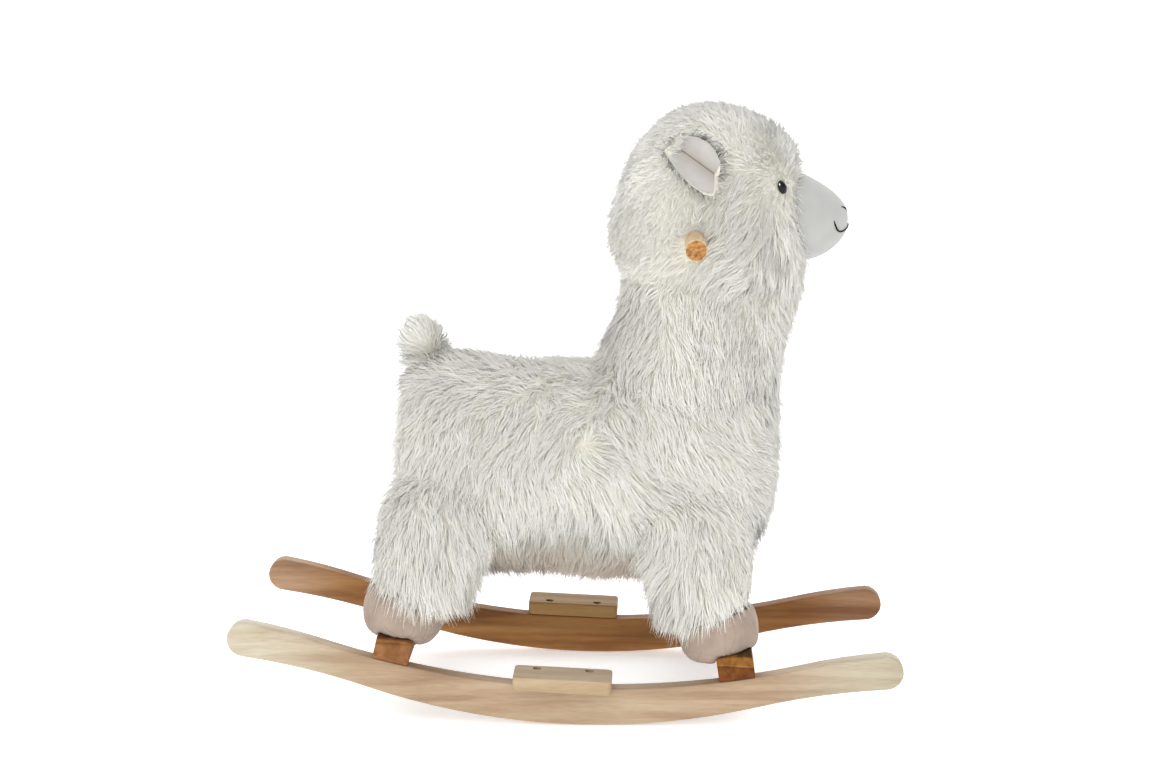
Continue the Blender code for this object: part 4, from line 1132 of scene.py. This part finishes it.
def makeMuzzle(skinTree):
    # A blunt cone whose back lies on the head
    data = bmesh.new()
    turns = [math.tau * i / muzzle["points"] for i in range(muzzle["points"])]
    first, last = muzzle["rings"][0], muzzle["rings"][-1]
    rings = []
    for share in (*reversed(muzzle["seat"]), 1.0):
        spots = [(share * first[3] * math.cos(t), first[1] + share * first[2] * math.sin(t)) for t in turns]
        rings.append([data.verts.new(onSurface(skinTree, y, z, muzzle["proud"])) for y, z in spots])
    for x, height, tall, wide in muzzle["rings"][1:]:
        spots = [Vector((x, wide * math.cos(t), height + tall * math.sin(t))) for t in turns]
        rings.append([data.verts.new(fromLevel @ spot) for spot in spots])
    for one, two in zip(rings, rings[1:]):
        for i in range(len(turns)):
            data.faces.new((one[i], one[i - 1], two[i - 1], two[i]))
    back = data.verts.new(onSurface(skinTree, 0, first[1], muzzle["proud"]))
    front = data.verts.new(fromLevel @ Vector((last[0] + muzzle["proud"], 0, last[1])))
    for i in range(len(turns)):
        data.faces.new((rings[0][i - 1], rings[0][i], back))
        data.faces.new((rings[-1][i], rings[-1][i - 1], front))
    bmesh.ops.recalc_face_normals(data, faces=data.faces)
    thing = rounded(addObject("plush_muzzle_cloth", meshOf(data, "plush_muzzle")), 2)
    return finishPiece(thing, "toy", ["plush_muzzle"], "shortNapPlush")


def makeStitch(name, node, spots, tree):
    # Black thread sewn along a line of points, drawn a little into the cloth at its ends
    data = bpy.data.curves.new(name, "CURVE")
    data.dimensions = "3D"
    data.bevel_depth = muzzle["thread"]
    data.bevel_resolution = 3
    data.resolution_u = 8
    data.use_fill_caps = True
    spline = data.splines.new("BEZIER")
    spline.bezier_points.add(len(spots) - 1)
    for number, (point, (y, z)) in enumerate(zip(spline.bezier_points, spots)):
        atEnd = number in (0, len(spots) - 1)
        point.co = onSurface(tree, y, z, -muzzle["sunk"] if atEnd else muzzle["sunk"])
        point.handle_left_type = point.handle_right_type = "AUTO"
        point.radius = 0.6 if atEnd else 1.0
    thing = addObject(name, data)
    bpy.context.view_layer.update()
    mesh = bpy.data.meshes.new_from_object(thing.evaluated_get(bpy.context.evaluated_depsgraph_get()))
    bpy.data.objects.remove(thing)
    thing = addObject(name, mesh)
    return finishPiece(thing, "toy", [node], material="embroideryThread")


def makeFace(skinTree):
    data = bmesh.new()
    data.from_mesh(makeMuzzle(skinTree).data)
    tree = BVHTree.FromBMesh(data)
    data.free()
    half = muzzle["mouth"]
    mouth = [(-y, z) for y, z in half] + [(y, z) for y, z in reversed(half[:-1])]
    makeStitch("mouth_thread", "mouth_stitch", mouth, tree)
    for side, sign in (("right", -1), ("left", 1)):
        spots = [(sign * y, z) for y, z in muzzle["nostril"]]
        makeStitch(f"{side}_nostril_thread", f"{side}_nostril_stitch", spots, tree)
    return tree


def makePlush():
    skin = makeCover()
    trees["muzzle"] = makeFace(BVHTree.FromBMesh(skin))
    solids = {name: surfaceOf([name]) for name in cover["panels"]}
    panelOf = []
    for face in skin.faces:
        middle = face.calc_center_median()
        near = {name: tree.find_nearest(middle)[3] for name, tree in solids.items()}
        panelOf.append(min(near, key=near.get))
    skin.faces.index_update()
    whole = meshOf(skin, "cover")
    print("cover made:", len(whole.polygons), "faces")
    for number, name in enumerate(cover["panels"]):
        data = bmesh.new()
        data.from_mesh(whole)
        data.faces.ensure_lookup_table()
        others = [face for face in data.faces if panelOf[face.index] != name]
        bmesh.ops.delete(data, geom=others, context="FACES")
        panel = meshOf(data, name)
        count = len(panel.vertices)
        panel = thickened(panel, cover["backing"])
        storeFur(panel, [name] * count + [None] * (len(panel.vertices) - count))
        thing = growFur(addObject(f"{name}_fur", panel), 3 + number, furLie[name])
        finishPiece(thing, "toy", [name])
        print(thing.name, len(thing.data.polygons), "faces")
    bpy.data.meshes.remove(whole)


def makeSmallPlush(name, body, voxel, seed):
    # Tail or ear: one closed skin of its own, furred all over
    skin = remeshed(joinedNodes([name]), voxel)
    smoothed(skin, smallPlush["smoothing"])
    if name.endswith("_ear"):
        shapeEar(skin, name.removesuffix("_ear"))
        skin.normal_update()
    mesh = meshOf(skin, name)
    markOuter(mesh, len(mesh.polygons))
    storeFur(mesh, [name] * len(mesh.vertices))
    thing = growFur(addObject(f"{name}_fur", mesh), seed, furLie[name])
    finishPiece(thing, body, [name])
    print(thing.name, len(thing.data.polygons), "faces")


makePlush()
makeSmallPlush("plush_tail", "tail", smallPlush["tail"], 31)
for number, side in enumerate(sides):
    makeSmallPlush(f"{side}_ear", f"{side}_ear", smallPlush["ear"], 41 + number)


# Hooves, ear linings and eyes

hoof = {
    "voxel": 0.0025, "smoothing": 6,
    "dent": 0.0016, "dentSize": 0.028,
    "crease": 0.0011, "creaseSize": (0.011, 0.011, 0.026), "creaseWidth": 0.12,
    "seam": 0.015, "seamDepth": 0.0009, "seamWidth": 0.0013, "seamSway": 0.004, "swaySize": 0.05,
}


def makeHoof(name):
    # Stuffed cloth foot: soft dents, standing creases, and a seam round it above the sole
    skin = remeshed(joinedNodes([name]), hoof["voxel"])
    smoothed(skin, hoof["smoothing"])
    thing = rounded(addObject(f"{name}_cloth", meshOf(skin, name)), 1)
    mesh = thing.data
    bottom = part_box(name)[0].z
    moves = []
    for vertex in mesh.vertices:
        place = vertex.co
        dent = noise.noise(place / hoof["dentSize"]) * hoof["dent"]
        ridge = abs(noise.noise(Vector([p / size for p, size in zip(place, hoof["creaseSize"])])))
        crease = -max(0.0, hoof["creaseWidth"] - ridge) / hoof["creaseWidth"] * hoof["crease"]
        height = bottom + hoof["seam"] + hoof["seamSway"] * noise.noise(place / hoof["swaySize"])
        seam = -math.exp(-(((place.z - height) / hoof["seamWidth"]) ** 2)) * hoof["seamDepth"]
        moves.append(place + vertex.normal * (dent + crease + seam))
    for vertex, move in zip(mesh.vertices, moves):
        vertex.co = move
    return finishPiece(thing, "toy", [name], "beigeHoofCloth")


lining = {"voxel": 0.0008, "foldReach": 0.012}


def makeLining(side):
    # Velour of an ear, with the distance from its fold kept for the painted shade in the fold
    name = f"{side}_ear_lining"
    skin = remeshed(joinedNodes([name]), lining["voxel"])
    smoothed(skin, 1)
    folds = np.array(shapeEar(skin, side, earDrop["wider"]), np.float32) / lining["foldReach"]
    thing = addObject(f"{name}_cloth", meshOf(skin, name))
    distance = thing.data.attributes.new("foldDistance", "FLOAT", "POINT")
    distance.data.foreach_set("value", np.minimum(folds, 1.0))
    return finishPiece(thing, f"{side}_ear", [name], "pinkVelour")


eye = {"grow": 1.2, "proud": 0.002, "facing": (0.25, 1.0, 0.15)}


def makeEye(side):
    # The bead, a little larger and further out than the CAD one, so that the fur leaves it free
    name = f"{side}_eye"
    data = joinedNodes([name])
    middle = middleOf(name)
    x, y, z = eye["facing"]
    outward = Vector((x, -y if side == "right" else y, z)).normalized()
    for vertex in data.verts:
        vertex.co = middle + (vertex.co - middle) * eye["grow"] + outward * eye["proud"]
    thing = rounded(addObject(f"{name}_bead", meshOf(data, name)), 2)
    return finishPiece(thing, "toy", [name], material="polishedBlackPlastic")


for corner in corners:
    makeHoof(f"{corner}_hoof")
for side in sides:
    makeLining(side)
for side in sides:
    makeEye(side)
print("face and hooves made")


# Floor, light and camera

floorLook = {"radius": 60.0, "below": 0.0005, "glow": 0.4}  # a lit tabletop, which keeps the shadows faint
softboxes = {
    # Very large and far. Azimuth from the camera's side towards the nose, elevation, spread and strength
    "key": (-18, 48, 80, 0.52),
    "fill": (-4, 10, 60, 0.18),
    "back": (165, 42, 80, 0.6),
    "catchLight": (-14, 30, 34, 4.0),
}
# The camera stands level with the photograph's own: level place and turns, then rolled with the toy
view = {
    "place": (0.07203, -2.42602, 0.78928), "yaw": -1.55414, "pitch": 10.68199, "roll": -2.51335,
    "lens": 70.08, "sensor": 36.0,
}


def makeFloor():
    data = bmesh.new()
    bmesh.ops.create_circle(data, cap_ends=True, segments=64, radius=floorLook["radius"])
    floor = addObject("floor", meshOf(data, "floor"))
    floor.location.z = -floorLook["below"]
    glow = {"Emission Color": fromHex("#FFFFFF"), "Emission Strength": floorLook["glow"]}
    floor.data.materials.append(newMaterial("litAcrylicFloor", "#FCFCFC", 0.8, glow)[0])


def makeLight(name, azimuth, elevation, spread, strength):
    data = bpy.data.lights.new(name, "SUN")
    data.angle = math.radians(spread)
    data.energy = strength * math.pi
    lamp = addObject(name, data)
    turn, up = math.radians(azimuth), math.radians(elevation)
    place = Vector((math.sin(turn) * math.cos(up), -math.cos(turn) * math.cos(up), math.sin(up)))
    lamp.location = place * 3
    lamp.rotation_euler = (-place).to_track_quat("-Z", "Y").to_euler()
    return lamp


def makeWorld():
    # White below and at the horizon, and grey overhead
    world = bpy.data.worlds.new("studio")
    world.use_nodes = True
    tree = world.node_tree
    background = tree.nodes["Background"]
    place = addNode(tree, "ShaderNodeTexCoord")
    height = addNode(tree, "ShaderNodeSeparateXYZ", inputs={0: place.outputs["Generated"]})
    ramp = addNode(tree, "ShaderNodeValToRGB", inputs={0: height.outputs["Z"]})
    tree.links.new(setRamp(ramp, ((0.12, "#FFFFFF"), (0.40, "#B2B3B4"))), background.inputs["Color"])
    background.inputs["Strength"].default_value = 1.0
    bpy.context.scene.world = world


def makeCamera():
    yaw, pitch, roll = (math.radians(view[key]) for key in ("yaw", "pitch", "roll"))
    forward = Vector((math.sin(yaw) * math.cos(pitch), math.cos(yaw) * math.cos(pitch), -math.sin(pitch)))
    right = Vector((math.cos(yaw), -math.sin(yaw), 0))
    down = forward.cross(right)
    across = right * math.cos(roll) + down * math.sin(roll)
    below = down * math.cos(roll) - right * math.sin(roll)
    turn = Matrix((across, -below, -forward)).transposed().to_4x4()
    data = bpy.data.cameras.new("camera")
    data.lens = view["lens"]
    data.sensor_width = view["sensor"]
    camera = addObject("camera", data)
    camera.matrix_world = fromLevel @ Matrix.Translation(view["place"]) @ turn
    bpy.context.scene.camera = camera


makeFloor()
makeWorld()
lamps = {name: makeLight(name, *look) for name, look in softboxes.items()}
# The catch light reaches the eyes only
eyes = bpy.data.collections.new("eyes")
for side in sides:
    eyes.objects.link(bpy.data.objects[f"{side}_eye_bead"])
lamps["catchLight"].light_linking.receiver_collection = eyes
makeCamera()
bpy.context.scene.view_settings.view_transform = "Standard"
print("stage set")
